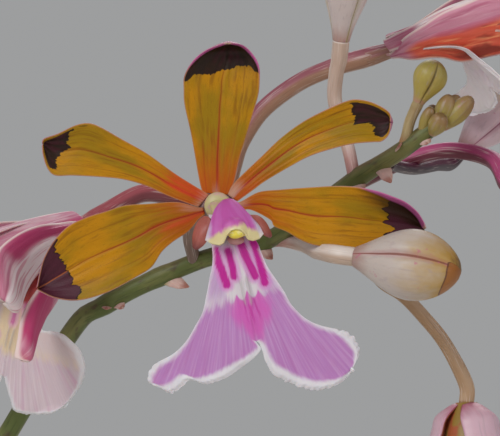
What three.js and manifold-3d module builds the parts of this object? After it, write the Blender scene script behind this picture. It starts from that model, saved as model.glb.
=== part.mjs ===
// Psychilis atropurpurea in a clay pot: a row of pseudobulbs with strap leaves, and one arching flower stem.
// Millimetres, +Z up. The origin is the centre of the pot's underside, and the main bloom faces -Y.

import * as THREE from 'three';
import { mergeVertices } from 'three/addons/utils/BufferGeometryUtils.js';
import Module from 'manifold-3d';

const wasm = await Module();
wasm.setup();

// Driving dimensions, in millimetres and degrees

const POT = {
  height: 96, baseRadius: 38, shoulderRadius: 51.5, bandRadius: 56, bandHeight: 20, wall: 5, floor: 8,
  edge: 1.5, sides: 28, drainRadius: 5, drainCircle: 19, drainHoles: 3,
};
const SEAT_GAP = 0.3;
const MEDIUM = {
  level: 80, mound: 3, clearance: 0.45, chunk: [17, 12, 9], jitter: 0.22,
  rings: [{ radius: 12, count: 5 }, { radius: 27, count: 10 }, { radius: 39, count: 14 }],
};
const RHIZOME = { radius: 3.4, level: 83, stubRadius: 4.8, stubTop: 88, sides: 7, steps: 14 };
const BULB = { baseRadius: 4.2, topRadius: 5, ribs: 5, ribDepth: 0.04, sides: 10, steps: 8 };
const LEAF = { thickness: 1.4, reach: 4.9, baseShare: 0.3, channel: 0.34, across: 2, along: 12 };

// The shoots from the oldest to the newest: place, height, widest radius and the leaves at the top
const SHOOTS = [
  { at: [-33, -8], height: 50, radius: 8.3, tilt: 3, leaves: [] },
  {
    at: [-18.5, 5], height: 58, radius: 8.6, tilt: -2,
    leaves: [
      { azimuth: 118, length: 122, width: 18, rise: 78, fall: 4, reach: LEAF.reach },
      { azimuth: 202, length: 132, width: 19, rise: 76, fall: -14, reach: LEAF.reach },
    ],
  },
  {
    at: [-4.5, -8], height: 62, radius: 8.8, tilt: 2,
    leaves: [
      { azimuth: 100, length: 138, width: 19, rise: 84, fall: 30, reach: LEAF.reach },
      { azimuth: 248, length: 128, width: 19, rise: 77, fall: -6, reach: LEAF.reach },
    ],
  },
  {
    at: [9, 6], height: 66, radius: 8.8, tilt: 0,
    leaves: [
      { azimuth: 84, length: 142, width: 20, rise: 80, fall: 2, reach: LEAF.reach },
      { azimuth: 276, length: 140, width: 20, rise: 79, fall: -2, reach: LEAF.reach },
    ],
  },
  {
    at: [24.5, -6], height: 56, radius: 8, tilt: -3,
    leaves: [
      { azimuth: 48, length: 136, width: 19, rise: 78, fall: 6, reach: LEAF.reach },
      { azimuth: 306, length: 130, width: 19, rise: 80, fall: 0, reach: LEAF.reach },
      { azimuth: 0, length: 84, width: 13, rise: 89, fall: 62, reach: 0 },
    ],
  },
];
const FLOWERING_SHOOT = 3;

// Surface roots, each from a point on the rhizome to a point where it enters the medium
const ROOTS = [
  [[-28, -3, 83], [-33, 8, 84], [-31, 20, 82.5], [-24, 30, 77]],
  [[-13, 0, 83], [-11, 14, 84.5], [-3, 26, 82.5], [6, 32, 77]],
  [[-13, -2, 83], [-20, -16, 84], [-18, -28, 82.5], [-11, -35, 77]],
  [[3, -1, 83], [8, -16, 84.5], [16, -27, 82.5], [15, -36, 77]],
  [[17, 0, 83], [22, 13, 84.5], [31, 20, 82.5], [34, 24, 77.5]],
];
const ROOT = { radius: 1.7, tip: 1.1, sides: 6, steps: 7 };

// The flower stem's axis above the flowering shoot, and the stalk of each bloom and bud
const STEM = { baseRadius: 1.8, racemeRadius: 1.25, tipRadius: 1.05, sides: 7, steps: 46 };
const STEM_ROUTE = [
  [8.4, 5, 200], [10, 3.5, 255], [17, 0, 310], [28, -5, 354], [43, -11, 393], [60.2, -17, 423],
  [66.5, -20, 428.9], [77.9, -23, 434.3], [86.5, -28, 436.8], [92.5, -33, 440.7], [97.9, -37, 444.7],
  [103.6, -39, 448.3],
  [108.4, -40, 452],
];
// Where a sheath clasps the stem, as a share of its length, and how far it stands proud at its lower end
const SHEATHS = [0.1, 0.24, 0.39, 0.54, 0.68];
const SHEATH = { share: 0.05, proud: 0.6 };
// A stalk ends straight behind what it carries: its last stretch starts at `lead` and stops at `gap`
const STALK = { lead: 2, gap: 0.35, sides: 6, steps: 7 };
// The route of each stalk from the stem's axis, and its radius at the two ends
const BLOOM_STALKS = {
  main: { girth: [0.8, 1.15], route: [[77.9, -23, 434.3], [77.3, -27, 438], [78.5, -33.5, 441.2]] },
  left: {
    girth: [1.1, 1.25],
    route: [[81.4, -25, 435.3], [80.5, -21, 439.1], [77.8, -19.5, 442], [74.6, -20, 442.9], [70.7, -21, 443.1]],
  },
  top: {
    girth: [1, 1.25],
    route: [[83.5, -26, 435.9], [82.2, -23, 442.3], [83.1, -22, 447.5], [84.4, -22, 450.7], [86.9, -22, 454.2],
      [91.4, -23, 457.5], [96, -25, 459.4]],
  },
  right: {
    girth: [0.9, 1.2],
    route: [[92.5, -33, 440.7], [96.9, -31, 443.5], [101.4, -29, 445.8], [105.5, -29, 447.6],
      [110.4, -31, 448.5], [115.2, -34, 447.2]],
  },
};
const BUD_STALKS = {
  upper: {
    girth: [0.75, 1.05],
    route: [[97.9, -37, 444.7], [97.2, -36, 448.4], [96.3, -35, 451.5], [95.4, -35, 454.6], [95.5, -36, 458]],
  },
  front: {
    girth: [0.8, 1.15],
    route: [[86.5, -28, 436.8], [88.8, -29, 437.2], [91.4, -32, 436.7], [93.4, -38, 435.4], [94.4, -43, 434.8]],
  },
  lower: {
    girth: [0.75, 0.95],
    route: [[92.5, -33, 440.7], [95.7, -31, 439.1], [98.8, -31, 436], [101.3, -32, 432.2], [104.1, -33, 430.3],
      [106.6, -34, 427.7], [109.2, -35, 424.4]],
  },
  rear: { girth: [0.7, 0.95], route: [[101.9, -38, 446.6], [105.5, -30, 445.6], [109, -21, 446.2]] },
  small: { girth: [0.65, 0.72], route: [[103.6, -39, 448.3], [104.1, -39.4, 450]] },
};
// Small bracts at the nodes: foot and tip
const BRACTS = [
  [[66.5, -20.2, 429.4], [66.4, -22, 427.6]], [[67.5, -20.4, 429.4], [68.9, -22, 427.9]],
  [[74.6, -22.3, 432.2], [77.5, -23.5, 430.8]], [[86.5, -28.2, 436.4], [88, -29.4, 434.4]],
  [[101.2, -38.6, 446.2], [102.5, -40.4, 442.6]], [[97.9, -37.2, 444.4], [99.3, -38.8, 443.2]],
  [[103.6, -39.2, 448.2], [102.8, -40.4, 449.3]], [[105.8, -39.6, 449.9], [107.2, -40.8, 448.8]],
];
const BRACT = { foot: 0.9, tip: 0.2, sides: 5, steps: 2 };
// Green buds crowded at the tip of the raceme: foot, tip and width
const TIP_BUDS = [
  [[108.4, -39.8, 450.9], [112.1, -40.3, 454.7], 2.6], [[107.9, -40, 451.2], [109.4, -40.6, 455], 2.4],
  [[105.9, -39.8, 450.4], [107.1, -40.6, 453.5], 1.7], [[107.2, -40.4, 450.2], [108.3, -42.5, 452.5], 2.4],
  [[108.2, -39.6, 451.2], [110.6, -37.8, 455], 2.3], [[107.6, -39.6, 451], [107.4, -37.6, 453.8], 1.9],
];

// Buds: foot, tip, widest width, where it is widest along its length and how far its sepals have parted
const BUDS = {
  upper: { foot: [96.2, -37, 461.7], tip: [97.4, -41, 474.1], width: 6.3, fullest: 0.62, parted: 0 },
  front: { foot: [97.3, -47.5, 435.4], tip: [109.8, -51, 433.7], width: 8.5, fullest: 0.56, parted: 0 },
  lower: { foot: [111.75, -36, 417.2], tip: [112.2, -37.5, 402.6], width: 7.2, fullest: 0.5, parted: 14 },
  rear: { foot: [113, -14.5, 448.9], tip: [121.6, -12.5, 457.8], width: 6.8, fullest: 0.55, parted: 0 },
  small: { foot: [105.5, -39.95, 454], tip: [107.75, -41, 459.1], width: 4.2, fullest: 0.62, parted: 0 },
};
const BUD = { tipRadius: 0.3, seam: 0.09, seamWidth: 0.3, base: 1.3, sides: 12, steps: 6 };
// How sharply a belly swells out toward its foot and toward its tip: under 1 is blunt
const BELLY = { towardFoot: 0.9, towardTip: 0.6 };
const TIP_BUD = { foot: 0.5, tip: 0.25, fullest: 0.55, sides: 6, steps: 3 };

// The outline of each tepal, seen from the front: two margins from the foot to the tip
const TEPALS = {
  dorsal: {
    left: [[-1, 1.3], [-1.7, 2], [-2.8, 8], [-3.6, 11.8], [-3.7, 13.6], [-3.6, 15.2], [-2.6, 16.9],
      [-1.2, 18.1], [0.4, 18.7], [1.6, 19]],
    right: [[1.6, 1.1], [2.3, 2.7], [2.9, 5.3], [3.8, 8.3], [4.6, 11], [5.2, 13.2], [5.3, 15], [5.2, 16.4],
      [4.6, 17.6], [3.4, 18.7], [1.6, 19]],
    direction: 86, rise: 0.6, arch: 0.9, channel: 0.9, cup: 2.2,
  },
  petalLeft: {
    left: [[-0.7, 1.1], [-4.6, 3.5], [-8.1, 6], [-11.3, 7.8], [-13.8, 9.2], [-15.2, 9.6], [-16.7, 9.3],
      [-18.7, 8.3], [-20.3, 7.7], [-20.5, 7.1]],
    right: [[-2, -0.4], [-5.5, 0.9], [-8.1, 2.1], [-10.8, 2.9], [-13.4, 3.2], [-16.9, 3.4], [-19, 3.4],
      [-19.9, 4.2], [-20.4, 5.8], [-20.5, 7.1]],
    direction: 158, rise: 0.8, arch: 1.4, channel: 0.7, cup: 0.5,
  },
  petalRight: {
    left: [[1.5, 1.1], [2.3, 2.5], [5.2, 5.3], [7.8, 7.8], [10.4, 9.7], [13.1, 11.1], [15.7, 12.2],
      [17.1, 12.4], [18.9, 12], [20.7, 10.9], [20.9, 9.7]],
    right: [[2.7, 0.3], [4.5, 1.6], [6, 2.7], [8.7, 4.3], [11.3, 5.7], [14, 6.6], [16.6, 7.2], [18.9, 7.4],
      [19.9, 7.5], [20.7, 8.3], [20.9, 9.7]],
    direction: 27, rise: 0.8, arch: 1.4, channel: 0.7, cup: 0.5,
  },
  sepalLeft: {
    left: [[-1.4, -0.4], [-2.1, -0.4], [-4.6, 0.2], [-8.1, 0], [-10.8, -0.2], [-13, -0.9], [-15.2, -1.6],
      [-17.3, -2.6], [-18.7, -3.9], [-19.6, -5.1], [-20.4, -6.7], [-20.8, -8.3], [-21.1, -9.8], [-21.3, -10.1]],
    right: [[-1.2, -1.3], [-2, -1.9], [-3.2, -3.3], [-5.1, -4.6], [-6.4, -5.8], [-7.6, -7.6], [-9.5, -8.8],
      [-12.3, -10.3], [-14.8, -11.2], [-16.9, -11.5], [-19, -11.2], [-20.4, -10.6], [-21.3, -10.1]],
    direction: 202, rise: 0.6, arch: 1.6, channel: 0.9, cup: 0.4,
  },
  sepalRight: {
    left: [[2, 0.5], [2.9, 0.2], [5.2, 1.4], [7.8, 1.7], [10.4, 1.9], [14, 2.1], [16.6, 2], [19.2, 1.5],
      [21, 0.9], [22.7, 0.2], [24.1, -0.9], [24.9, -2.1], [25.3, -3.1]],
    right: [[2.8, -1], [4.2, -0.7], [6.6, -1.9], [7.1, -2.7], [8.7, -3.4], [10.2, -4.3], [12.2, -5],
      [15.5, -5.2], [17.9, -5.4], [21, -5], [23.4, -4.3], [25.3, -3.1]],
    direction: 354, rise: -1.6, arch: 1.2, channel: 0.9, cup: 0.4,
  },
};
const TEPAL = { thickness: 0.7, end: 0.985, foldRadius: 1.6 };
// How many stretches a blade has, across and along: many on the main bloom, fewer on the others
const MESH = { fine: { across: 4, along: 9 }, plain: { across: 2, along: 7 } };
const LIP_MESH = { fine: { across: 3, along: 12, toNotch: 5 }, plain: { across: 2, along: 7, toNotch: 3 } };
const RECEPTACLE = { radius: 2.3, back: -1.6, front: -0.25, sides: 10 };

// The lips: the axis from the claw to the notch, and the outline of the two lobes. The rounded lip is alike on
// both sides of its axis, so its left lobe is its right one mirrored.
const LIPS = {
  spread: {
    axis: [[2.5, -5.2], [3.6, -10], [4.9, -16.2]],
    leftOuter: [[-0.3, -5.1], [-0.2, -6.2], [-0.3, -7.5], [-0.6, -8.9], [-0.9, -10.6], [-1.4, -12.8],
      [-2.3, -14.5], [-3.4, -16.3], [-4.8, -17.7], [-6.7, -18.8], [-7.6, -19.8], [-7.9, -21], [-7.4, -21.6]],
    leftLower: [[5.5, -17], [5.4, -17.4], [4.7, -18.2], [3.3, -19.3], [1.6, -20.5], [-0.2, -21.2],
      [-1.3, -21.4], [-2.8, -20.9], [-4.4, -22.1], [-5.5, -22.4], [-6.4, -21.9], [-7.4, -21.6]],
    rightOuter: [[5.4, -5.4], [6, -6.9], [6.5, -7.8], [7.4, -9.1], [8.3, -10.5], [9.1, -11.9], [10.7, -13.5],
      [12.6, -14.4], [14.8, -14.9], [16, -15.4], [16.9, -16.3], [17.2, -17.3], [17, -18.4], [16.3, -19.6]],
    rightLower: [[5.6, -17.2], [6, -18.6], [6.7, -19.8], [8.3, -21], [10, -21.7], [12.1, -22], [14.2, -21.6],
      [15.6, -20.7], [16.3, -19.6]],
    height: 5.7, droop: 0.011, ridge: 0.6, ridgeWidth: 1.1,
  },
  rounded: {
    axis: [[0, 0], [-1.6, -4.6], [-2.9, -9.1]],
    rightOuter: [[2.6, 0], [2.9, -1.7], [2.8, -3.1], [4, -3.3], [5.3, -3.7], [6.4, -4.7], [7.3, -5.9],
      [7.7, -7.6], [7.5, -8.9], [7, -10.1], [6, -11.5], [4.7, -12.9]],
    rightLower: [[-2.7, -11.1], [-2.5, -12.9], [-1.8, -13.9], [-0.4, -14.3], [1.1, -14.2], [2.9, -14],
      [4.7, -12.9]],
    height: 0.5, droop: 0.02, ridge: 0.4, ridgeWidth: 1.1,
  },
};
const LIP_THICKNESS = 0.8;
const CLAW = {
  route: [[0.2, -0.5, 0.9], [1.2, -2.7, 3.3], [2.4, -5.5, 5.8]], base: 1.2, end: 2.9, thickness: 0.9,
};
const COLUMN = {
  route: [[0.2, 0.3, 0.9], [0.9, -0.4, 4], [2.3, -4.5, 7.6]], base: 1.2, end: 3.3, thickness: 1.1,
};
// On a closed bloom, claw and column both start inside the receptacle, and the claw runs on into the lip
const HANGING = { root: [0.2, -0.3, -0.8], overlap: 1.2, columnShare: 0.6 };
const COLUMN_FOOT = { centre: [0.3, -0.1, 1.5], radius: [1.5, 1.5, 1.15] };
const ANTHER = { centre: [2.5, -4.6, 7.5], radius: [0.9, 0.55, 0.9] };
const EARS = [
  { centre: [-1.1, -3.6, 3.9], radius: [0.75, 1.85, 0.7] },
  { centre: [5, -2.7, 3.9], radius: [0.75, 1.85, 0.7] },
];
const EAR_ARM = { radius: 0.55, sides: 4, steps: 1 };
const OVAL = { sides: 8, steps: 4 };

// The blooms: place, the way each faces, its turn in its own plane and how far its tepals fold forward.
// Where a bloom has closed so far that its tepals touch the lip, the two are one body. Its lip then hangs in a
// frame of its own, and its column ends at a given point.
const BLOOMS = {
  main: {
    at: [80.8, -45, 441.7], facing: [0, -1, 0], roll: 0, mesh: MESH.fine, lipMesh: LIP_MESH.fine, folds: {},
  },
  left: {
    at: [62.8, -25, 438.7], facing: [-0.75, -0.52, -0.41], roll: -28, mesh: MESH.plain, lipMesh: LIP_MESH.plain,
    folds: { dorsal: 72, petalLeft: 66, petalRight: 60, sepalLeft: 62, sepalRight: 53 },
    rolled: { sepalRight: 0.8 },
    lip: { shape: LIPS.rounded, at: [56.1, -32, 429], facing: [-0.35, -0.92, -0.15], roll: 0, scale: 1 },
    columnTip: [58.5, -27.8, 431.8],
  },
  top: {
    at: [103.1, -27, 461.4], facing: [0.9, -0.3, 0.26], roll: 0, mesh: MESH.plain, lipMesh: LIP_MESH.plain,
    folds: { dorsal: 88, petalLeft: 84, petalRight: 84, sepalLeft: 82, sepalRight: 80 },
    rolled: { dorsal: 0.5 },
    lip: { shape: LIPS.spread, at: [112.1, -31, 460.9], facing: [0.5, 0.3, 0.81], roll: 0, scale: 0.72 },
    columnTip: [114.4, -29, 462.6],
  },
  right: {
    at: [120.2, -42, 443.4], facing: [0.88, -0.4, -0.15], roll: 0, mesh: MESH.plain, lipMesh: LIP_MESH.plain,
    folds: { dorsal: 34, petalLeft: 36, petalRight: 34, sepalLeft: 30, sepalRight: 28 },
  },
};

const COLOURS = {
  clay: '#a5603f', bark: '#5d4130', root: '#cfc9b6', bulb: '#8a9350', leaf: '#4d6b2c', stem: '#6d6a35',
  tepal: '#b98b10', lip: '#cfa9cf', agedBloom: '#c88ea0',
  bud: '#d9c2b6', greenBud: '#a9a352',
};

// Closed meshes and their joins

function signedVolume(positions, index) {
  const [a, b, c] = [new THREE.Vector3(), new THREE.Vector3(), new THREE.Vector3()];
  let total = 0;
  for (let i = 0; i < index.length; i += 3) {
    a.fromArray(positions, 3 * index[i]);
    b.fromArray(positions, 3 * index[i + 1]);
    c.fromArray(positions, 3 * index[i + 2]);
    total += a.dot(b.cross(c)) / 6;
  }
  return total;
}

/** Joins shared corners, drops triangles without area and turns the faces outward. */
function closedMesh(geometry) {
  const bare = geometry.clone();
  bare.deleteAttribute('normal');
  bare.deleteAttribute('uv');
  const merged = mergeVertices(bare, 1e-4);
  const corners = merged.index.array;
  const index = [];
  for (let i = 0; i < corners.length; i += 3) {
    const [a, b, c] = corners.slice(i, i + 3);
    if (a !== b && b !== c && c !== a) index.push(a, b, c);
  }
  const positions = merged.attributes.position.array;
  if (signedVolume(positions, index) < 0) index.reverse();
  merged.setIndex(index);
  return merged;
}

function solid(geometry) {
  const mesh = closedMesh(geometry);
  return new wasm.Manifold(new wasm.Mesh({
    numProp: 3,
    vertProperties: new Float32Array(mesh.attributes.position.array),
    triVerts: new Uint32Array(mesh.index.array),
  }));
}

function geometryOf(body) {
  const mesh = body.getMesh();
  const geometry = new THREE.BufferGeometry();
  geometry.setAttribute('position', new THREE.BufferAttribute(new Float32Array(mesh.vertProperties), 3));
  geometry.setIndex(new THREE.BufferAttribute(new Uint32Array(mesh.triVerts), 1));
  return closedMesh(geometry);
}

const joined = (geometries) => geometries.map(solid).reduce((whole, next) => whole.add(next));
const fuse = (geometries) => geometryOf(joined(geometries));

/** The largest of the bodies that a cut leaves, so that no loose scrap stays. */
function largestBody(body) {
  return body.decompose().reduce((best, next) => (next.volume() > best.volume() ? next : best));
}

// Curves and swept forms

const vector = ([x, y, z = 0]) => new THREE.Vector3(x, y, z);
const curveThrough = (points) => new THREE.CatmullRomCurve3(points.map(vector), false, 'catmullrom', 0.5);
const smooth = (low, high, value) => THREE.MathUtils.smoothstep(value, low, high);

/** Moves every corner of a geometry to the place that the rule gives for it. */
function reshape(geometry, rule) {
  const positions = geometry.attributes.position;
  for (let i = 0; i < positions.count; i += 1) {
    const moved = rule(positions.getX(i), positions.getY(i), positions.getZ(i));
    positions.setXYZ(i, moved.x, moved.y, moved.z);
  }
  return geometry;
}

/** A rod along a curve. Its half widths are functions of the way along it and of the angle round it. */
function rod(curve, halfWidth, { halfDepth = halfWidth, sides = 8, steps = 12, side = null } = {}) {
  const frames = curve.computeFrenetFrames(steps, false);
  return reshape(new THREE.CylinderGeometry(1, 1, 1, sides, steps), (x, y, z) => {
    const t = THREE.MathUtils.clamp(y + 0.5, 0, 1);
    const step = Math.round(t * steps);
    const angle = Math.atan2(x, z);
    const across = side ? vector(side) : frames.binormals[step].clone();
    const through = side ? across.clone().cross(frames.tangents[step]).normalize() : frames.normals[step];
    return curve.getPointAt(t)
      .addScaledVector(across, x * halfWidth(t, angle))
      .addScaledVector(through, z * halfDepth(t, angle));
  });
}

const tapered = (from, to) => (t) => THREE.MathUtils.lerp(from, to, t);

/** The half width of a bud or pseudobulb: foot and tip radius with a full belly between them. */
function bellied(foot, tip, belly, fullest) {
  const power = Math.log(0.5) / Math.log(fullest);
  return (t) => {
    const sharpness = t < fullest ? BELLY.towardFoot : BELLY.towardTip;
    const swell = Math.sin(Math.PI * Math.min(t, 0.999) ** power) ** sharpness;
    return THREE.MathUtils.lerp(foot, tip, t) * (1 - swell) + belly * swell;
  };
}

const oval = (centre, radii) => new THREE.SphereGeometry(1, OVAL.sides, OVAL.steps)
  .scale(...radii)
  .translate(...centre);

/** A thin board whose upper and lower faces are split into triangles alike. */
function thinBoard(across, along) {
  const board = new THREE.BoxGeometry(2, 1, 1, across, along, 1);
  const lowerFace = board.groups[5];
  const index = board.index.array;
  for (let i = lowerFace.start; i < lowerFace.start + lowerFace.count; i += 6) {
    const [a, b, d, , c] = index.slice(i, i + 6);
    index.set([a, b, c, a, c, d], i);
  }
  return board;
}

/** A blade ruled between two margins that meet at the tip, with its relief as a height over the outline. */
function blade(left, right, relief, { thickness, across, along, end = TEPAL.end, share = 1 }) {
  const leftMargin = curveThrough(left);
  const rightMargin = curveThrough(right);
  return reshape(thinBoard(across, along), (x, y, z) => {
    const s = (y + 0.5) * end;
    const place = leftMargin.getPointAt(s).lerp(rightMargin.getPointAt(s), (share * x + 1) / 2);
    place.z = relief(s, x, place) + z * thickness;
    return place;
  });
}

// The pot, its medium and what grows along it

const potInnerRadius = (z) => THREE.MathUtils.mapLinear(
  z, POT.floor, POT.height, POT.baseRadius - POT.wall, POT.shoulderRadius - POT.wall,
);

/** A turned body: the profile is a list of radius and height, from the axis and back to it. */
function turned(profile, sides) {
  const points = profile.map(([radius, height]) => new THREE.Vector2(radius, height));
  return new THREE.LatheGeometry(points, sides).rotateX(Math.PI / 2);
}

function potGeometry() {
  const { height, baseRadius, shoulderRadius, bandRadius, bandHeight, floor, edge, sides } = POT;
  const bandFoot = height - bandHeight;
  const wallAtBand = THREE.MathUtils.mapLinear(bandFoot, 0, height, baseRadius, shoulderRadius);
  const body = solid(turned([
    [0, 0], [baseRadius - edge, 0], [baseRadius, edge], [wallAtBand, bandFoot],
    [bandRadius - 2 * edge, bandFoot + edge / 2], [bandRadius - edge / 2, bandFoot + 2 * edge],
    [bandRadius, height - 2 * edge], [bandRadius - edge, height],
    [potInnerRadius(height) + edge, height], [potInnerRadius(height), height - edge],
    [potInnerRadius(floor), floor], [0, floor],
  ], sides));
  return geometryOf(drainHoles().reduce((pot, hole) => pot.subtract(solid(hole)), body));
}

function drainHoles() {
  return Array.from({ length: POT.drainHoles }, (_, i) => {
    const angle = (2 * Math.PI * (i + 0.25)) / POT.drainHoles;
    return new THREE.CylinderGeometry(POT.drainRadius, POT.drainRadius, 3 * POT.floor, 16)
      .rotateX(Math.PI / 2)
      .translate(POT.drainCircle * Math.cos(angle), POT.drainCircle * Math.sin(angle), 0);
  });
}

/** Repeatable draws between 0 and 1. */
function seededDraw(seed) {
  let state = seed;
  return () => {
    state = (state * 1664525 + 1013904223) % 4294967296;
    return state / 4294967296;
  };
}

function barkChunk(draw) {
  const chunk = new THREE.BoxGeometry(...MEDIUM.chunk.map((size) => size * (0.75 + 0.4 * draw())));
  const shifts = new Map();
  return reshape(chunk, (x, y, z) => {
    const corner = `${Math.sign(x)}${Math.sign(y)}${Math.sign(z)}`;
    if (!shifts.has(corner)) shifts.set(corner, 1 - MEDIUM.jitter * draw());
    return vector([x, y, z]).multiplyScalar(shifts.get(corner));
  }).rotateX(0.5 * (draw() - 0.5)).rotateY(0.5 * (draw() - 0.5)).rotateZ(Math.PI * draw());
}

function barkChunks() {
  const draw = seededDraw(11);
  return MEDIUM.rings.flatMap(({ radius, count }) => Array.from({ length: count }, (_, i) => {
    const angle = (2 * Math.PI * (i + 0.5 * draw())) / count;
    const height = MEDIUM.level - 2.5 + 2 * draw();
    return barkChunk(draw).translate(radius * Math.cos(angle), radius * Math.sin(angle), height);
  }));
}

function mediumGeometry() {
  const { level, mound } = MEDIUM;
  const foot = POT.floor + SEAT_GAP;
  const wallGap = SEAT_GAP + 0.1;
  const fill = turned([
    [0, foot], [potInnerRadius(foot) - wallGap, foot], [potInnerRadius(level) - wallGap, level], [0, level],
  ], POT.sides);
  const room = turned([
    [0, foot], [potInnerRadius(foot) - wallGap, foot],
    [potInnerRadius(level + 2 * mound) - wallGap, level + 2 * mound], [0, level + 2 * mound],
  ], POT.sides);
  const packed = joined([fill, ...barkChunks()]).intersect(solid(room));
  const grown = joined(rhizomeForms(MEDIUM.clearance));
  return geometryOf(largestBody(packed.subtract(grown)));
}

/** The rhizome, its stubs and its roots, each thicker all round by the given clearance. */
function rhizomeForms(clearance = 0) {
  const { radius, level, stubRadius, stubTop, sides } = RHIZOME;
  const nodes = SHOOTS.map(({ at: [x, y] }) => [x, y, level]);
  const first = [nodes[0][0] - 5, nodes[0][1] - 2, level - 1];
  const last = [nodes.at(-1)[0] + 7, nodes.at(-1)[1] + 1, level + 1];
  const creep = rod(curveThrough([first, ...nodes, last]), () => radius + clearance, RHIZOME);
  const stubs = nodes.map(([x, y, z]) => {
    const tall = stubTop - level + clearance;
    return new THREE.CylinderGeometry(stubRadius + clearance, radius + clearance, tall, sides)
      .rotateX(Math.PI / 2)
      .translate(x, y, z + tall / 2);
  });
  const roots = ROOTS.map((points) => rod(
    curveThrough(points), (t) => tapered(ROOT.radius, ROOT.tip)(t) + clearance, ROOT,
  ));
  return [creep, ...stubs, ...roots];
}

/** A pseudobulb standing on its stub: a ribbed spindle with a ring where each old sheath sat. */
function bulbGeometry({ height, radius, leaves }) {
  const topRadius = leaves.length ? BULB.topRadius : 0.5 * BULB.topRadius;
  const spindle = bellied(BULB.baseRadius, topRadius, radius, 0.42);
  const ribbed = (t, angle) => {
    const rib = 1 + BULB.ribDepth * Math.cos(BULB.ribs * angle) * smooth(0, 0.2, t) * smooth(1, 0.8, t);
    return spindle(t) * rib;
  };
  const axis = curveThrough([[0, 0, 0], [0, 0, height / 2], [0, 0, height]]);
  return closedMesh(rod(axis, ribbed, BULB));
}

/** A strap leaf: an arc that rises from the bulb and falls outward along +X, with a channel down its middle. */
function leafGeometry({ length, width, rise, fall, reach }) {
  const [start, end] = [rise, fall].map(THREE.MathUtils.degToRad);
  const turn = end - start;
  const strap = reshape(thinBoard(LEAF.across, LEAF.along), (u, y, side) => {
    const s = y + 0.5;
    const slope = start + turn * s;
    const along = vector([Math.sin(slope) - Math.sin(start), 0, Math.cos(start) - Math.cos(slope)])
      .multiplyScalar(length / turn);
    const upward = vector([-Math.sin(slope), 0, Math.cos(slope)]);
    const half = (width / 2) * leafShare(s);
    const lift = LEAF.channel * half * Math.abs(u) ** 1.5 * (1 - 0.45 * s);
    return along
      .addScaledVector(upward, lift + side * LEAF.thickness)
      .add(vector([0, u * half, 0]));
  });
  return closedMesh(strap).translate(reach, 0, SEAT_GAP);
}

/** The width of a leaf as a share of its widest: narrow at the foot, blunt at the tip. */
function leafShare(s) {
  const foot = LEAF.baseShare + (1 - LEAF.baseShare) * smooth(0, 0.34, s);
  const tip = Math.sqrt(Math.max(0, 1 - (Math.max(0, s - 0.74) / 0.265) ** 2));
  return foot * tip;
}

// The flower stem

/** The half width of the stem's axis, with a clasping sheath at each of its joints. */
function stemGirth(t) {
  const bare = t < 0.8
    ? THREE.MathUtils.lerp(STEM.baseRadius, STEM.racemeRadius, t / 0.8)
    : THREE.MathUtils.lerp(STEM.racemeRadius, STEM.tipRadius, (t - 0.8) / 0.2);
  const sheath = SHEATHS.find((foot) => t >= foot && t < foot + SHEATH.share);
  return sheath === undefined ? bare : bare + SHEATH.proud * (1 - (t - sheath) / SHEATH.share);
}

function stemAxis() {
  const { at: [x, y], height } = SHOOTS[FLOWERING_SHOOT];
  const foot = [x, y, bulbFoot() + height + SEAT_GAP];
  return rod(curveThrough([foot, ...STEM_ROUTE]), stemGirth, STEM);
}

const bulbFoot = () => RHIZOME.stubTop + SEAT_GAP + 0.2;

/** A stalk's route, with its last stretch straight behind what it carries. */
function stalkRoute(route, carried, direction, gap) {
  const behind = (distance) => vector(carried).addScaledVector(direction, -distance).toArray();
  return curveThrough([...route, behind(gap + STALK.lead), behind(gap)]);
}

function stalkForms() {
  const bloomStalks = Object.entries(BLOOM_STALKS).map(([name, { girth, route }]) => {
    const { at, facing } = BLOOMS[name];
    const gap = STALK.gap - RECEPTACLE.back;
    return rod(stalkRoute(route, at, vector(facing).normalize(), gap), tapered(...girth), STALK);
  });
  const budStalks = Object.entries(BUD_STALKS).map(([name, { girth, route }]) => {
    const { foot, tip } = BUDS[name];
    const direction = vector(tip).sub(vector(foot)).normalize();
    return rod(stalkRoute(route, foot, direction, STALK.gap), tapered(...girth), STALK);
  });
  return [...bloomStalks, ...budStalks];
}

const bractForms = () => BRACTS.map((ends) => rod(curveThrough(ends), tapered(BRACT.foot, BRACT.tip), BRACT));

const tipBudForms = () => TIP_BUDS.map(([foot, tip, width]) => rod(
  curveThrough([foot, tip]), bellied(TIP_BUD.foot, TIP_BUD.tip, width / 2, TIP_BUD.fullest), TIP_BUD,
));

const stemGeometry = () => fuse([stemAxis(), ...stalkForms(), ...bractForms(), ...tipBudForms()]);

// Buds

/** A closed bud: three sepals that meet in three sunken seams. */
function closedBudGeometry(bud, footRadius) {
  const belly = bellied(footRadius, BUD.tipRadius, bud.width / 2, bud.fullest);
  const seamed = (t, angle) => {
    const away = ((angle + 2 * Math.PI) % (2 * Math.PI / 3)) - Math.PI / 3;
    const seam = BUD.seam * Math.exp(-((away / BUD.seamWidth) ** 2)) * smooth(0.1, 0.4, t);
    return belly(t) * (1 - seam);
  };
  return closedMesh(rod(curveThrough([bud.foot, bud.tip]), seamed, BUD));
}

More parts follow.
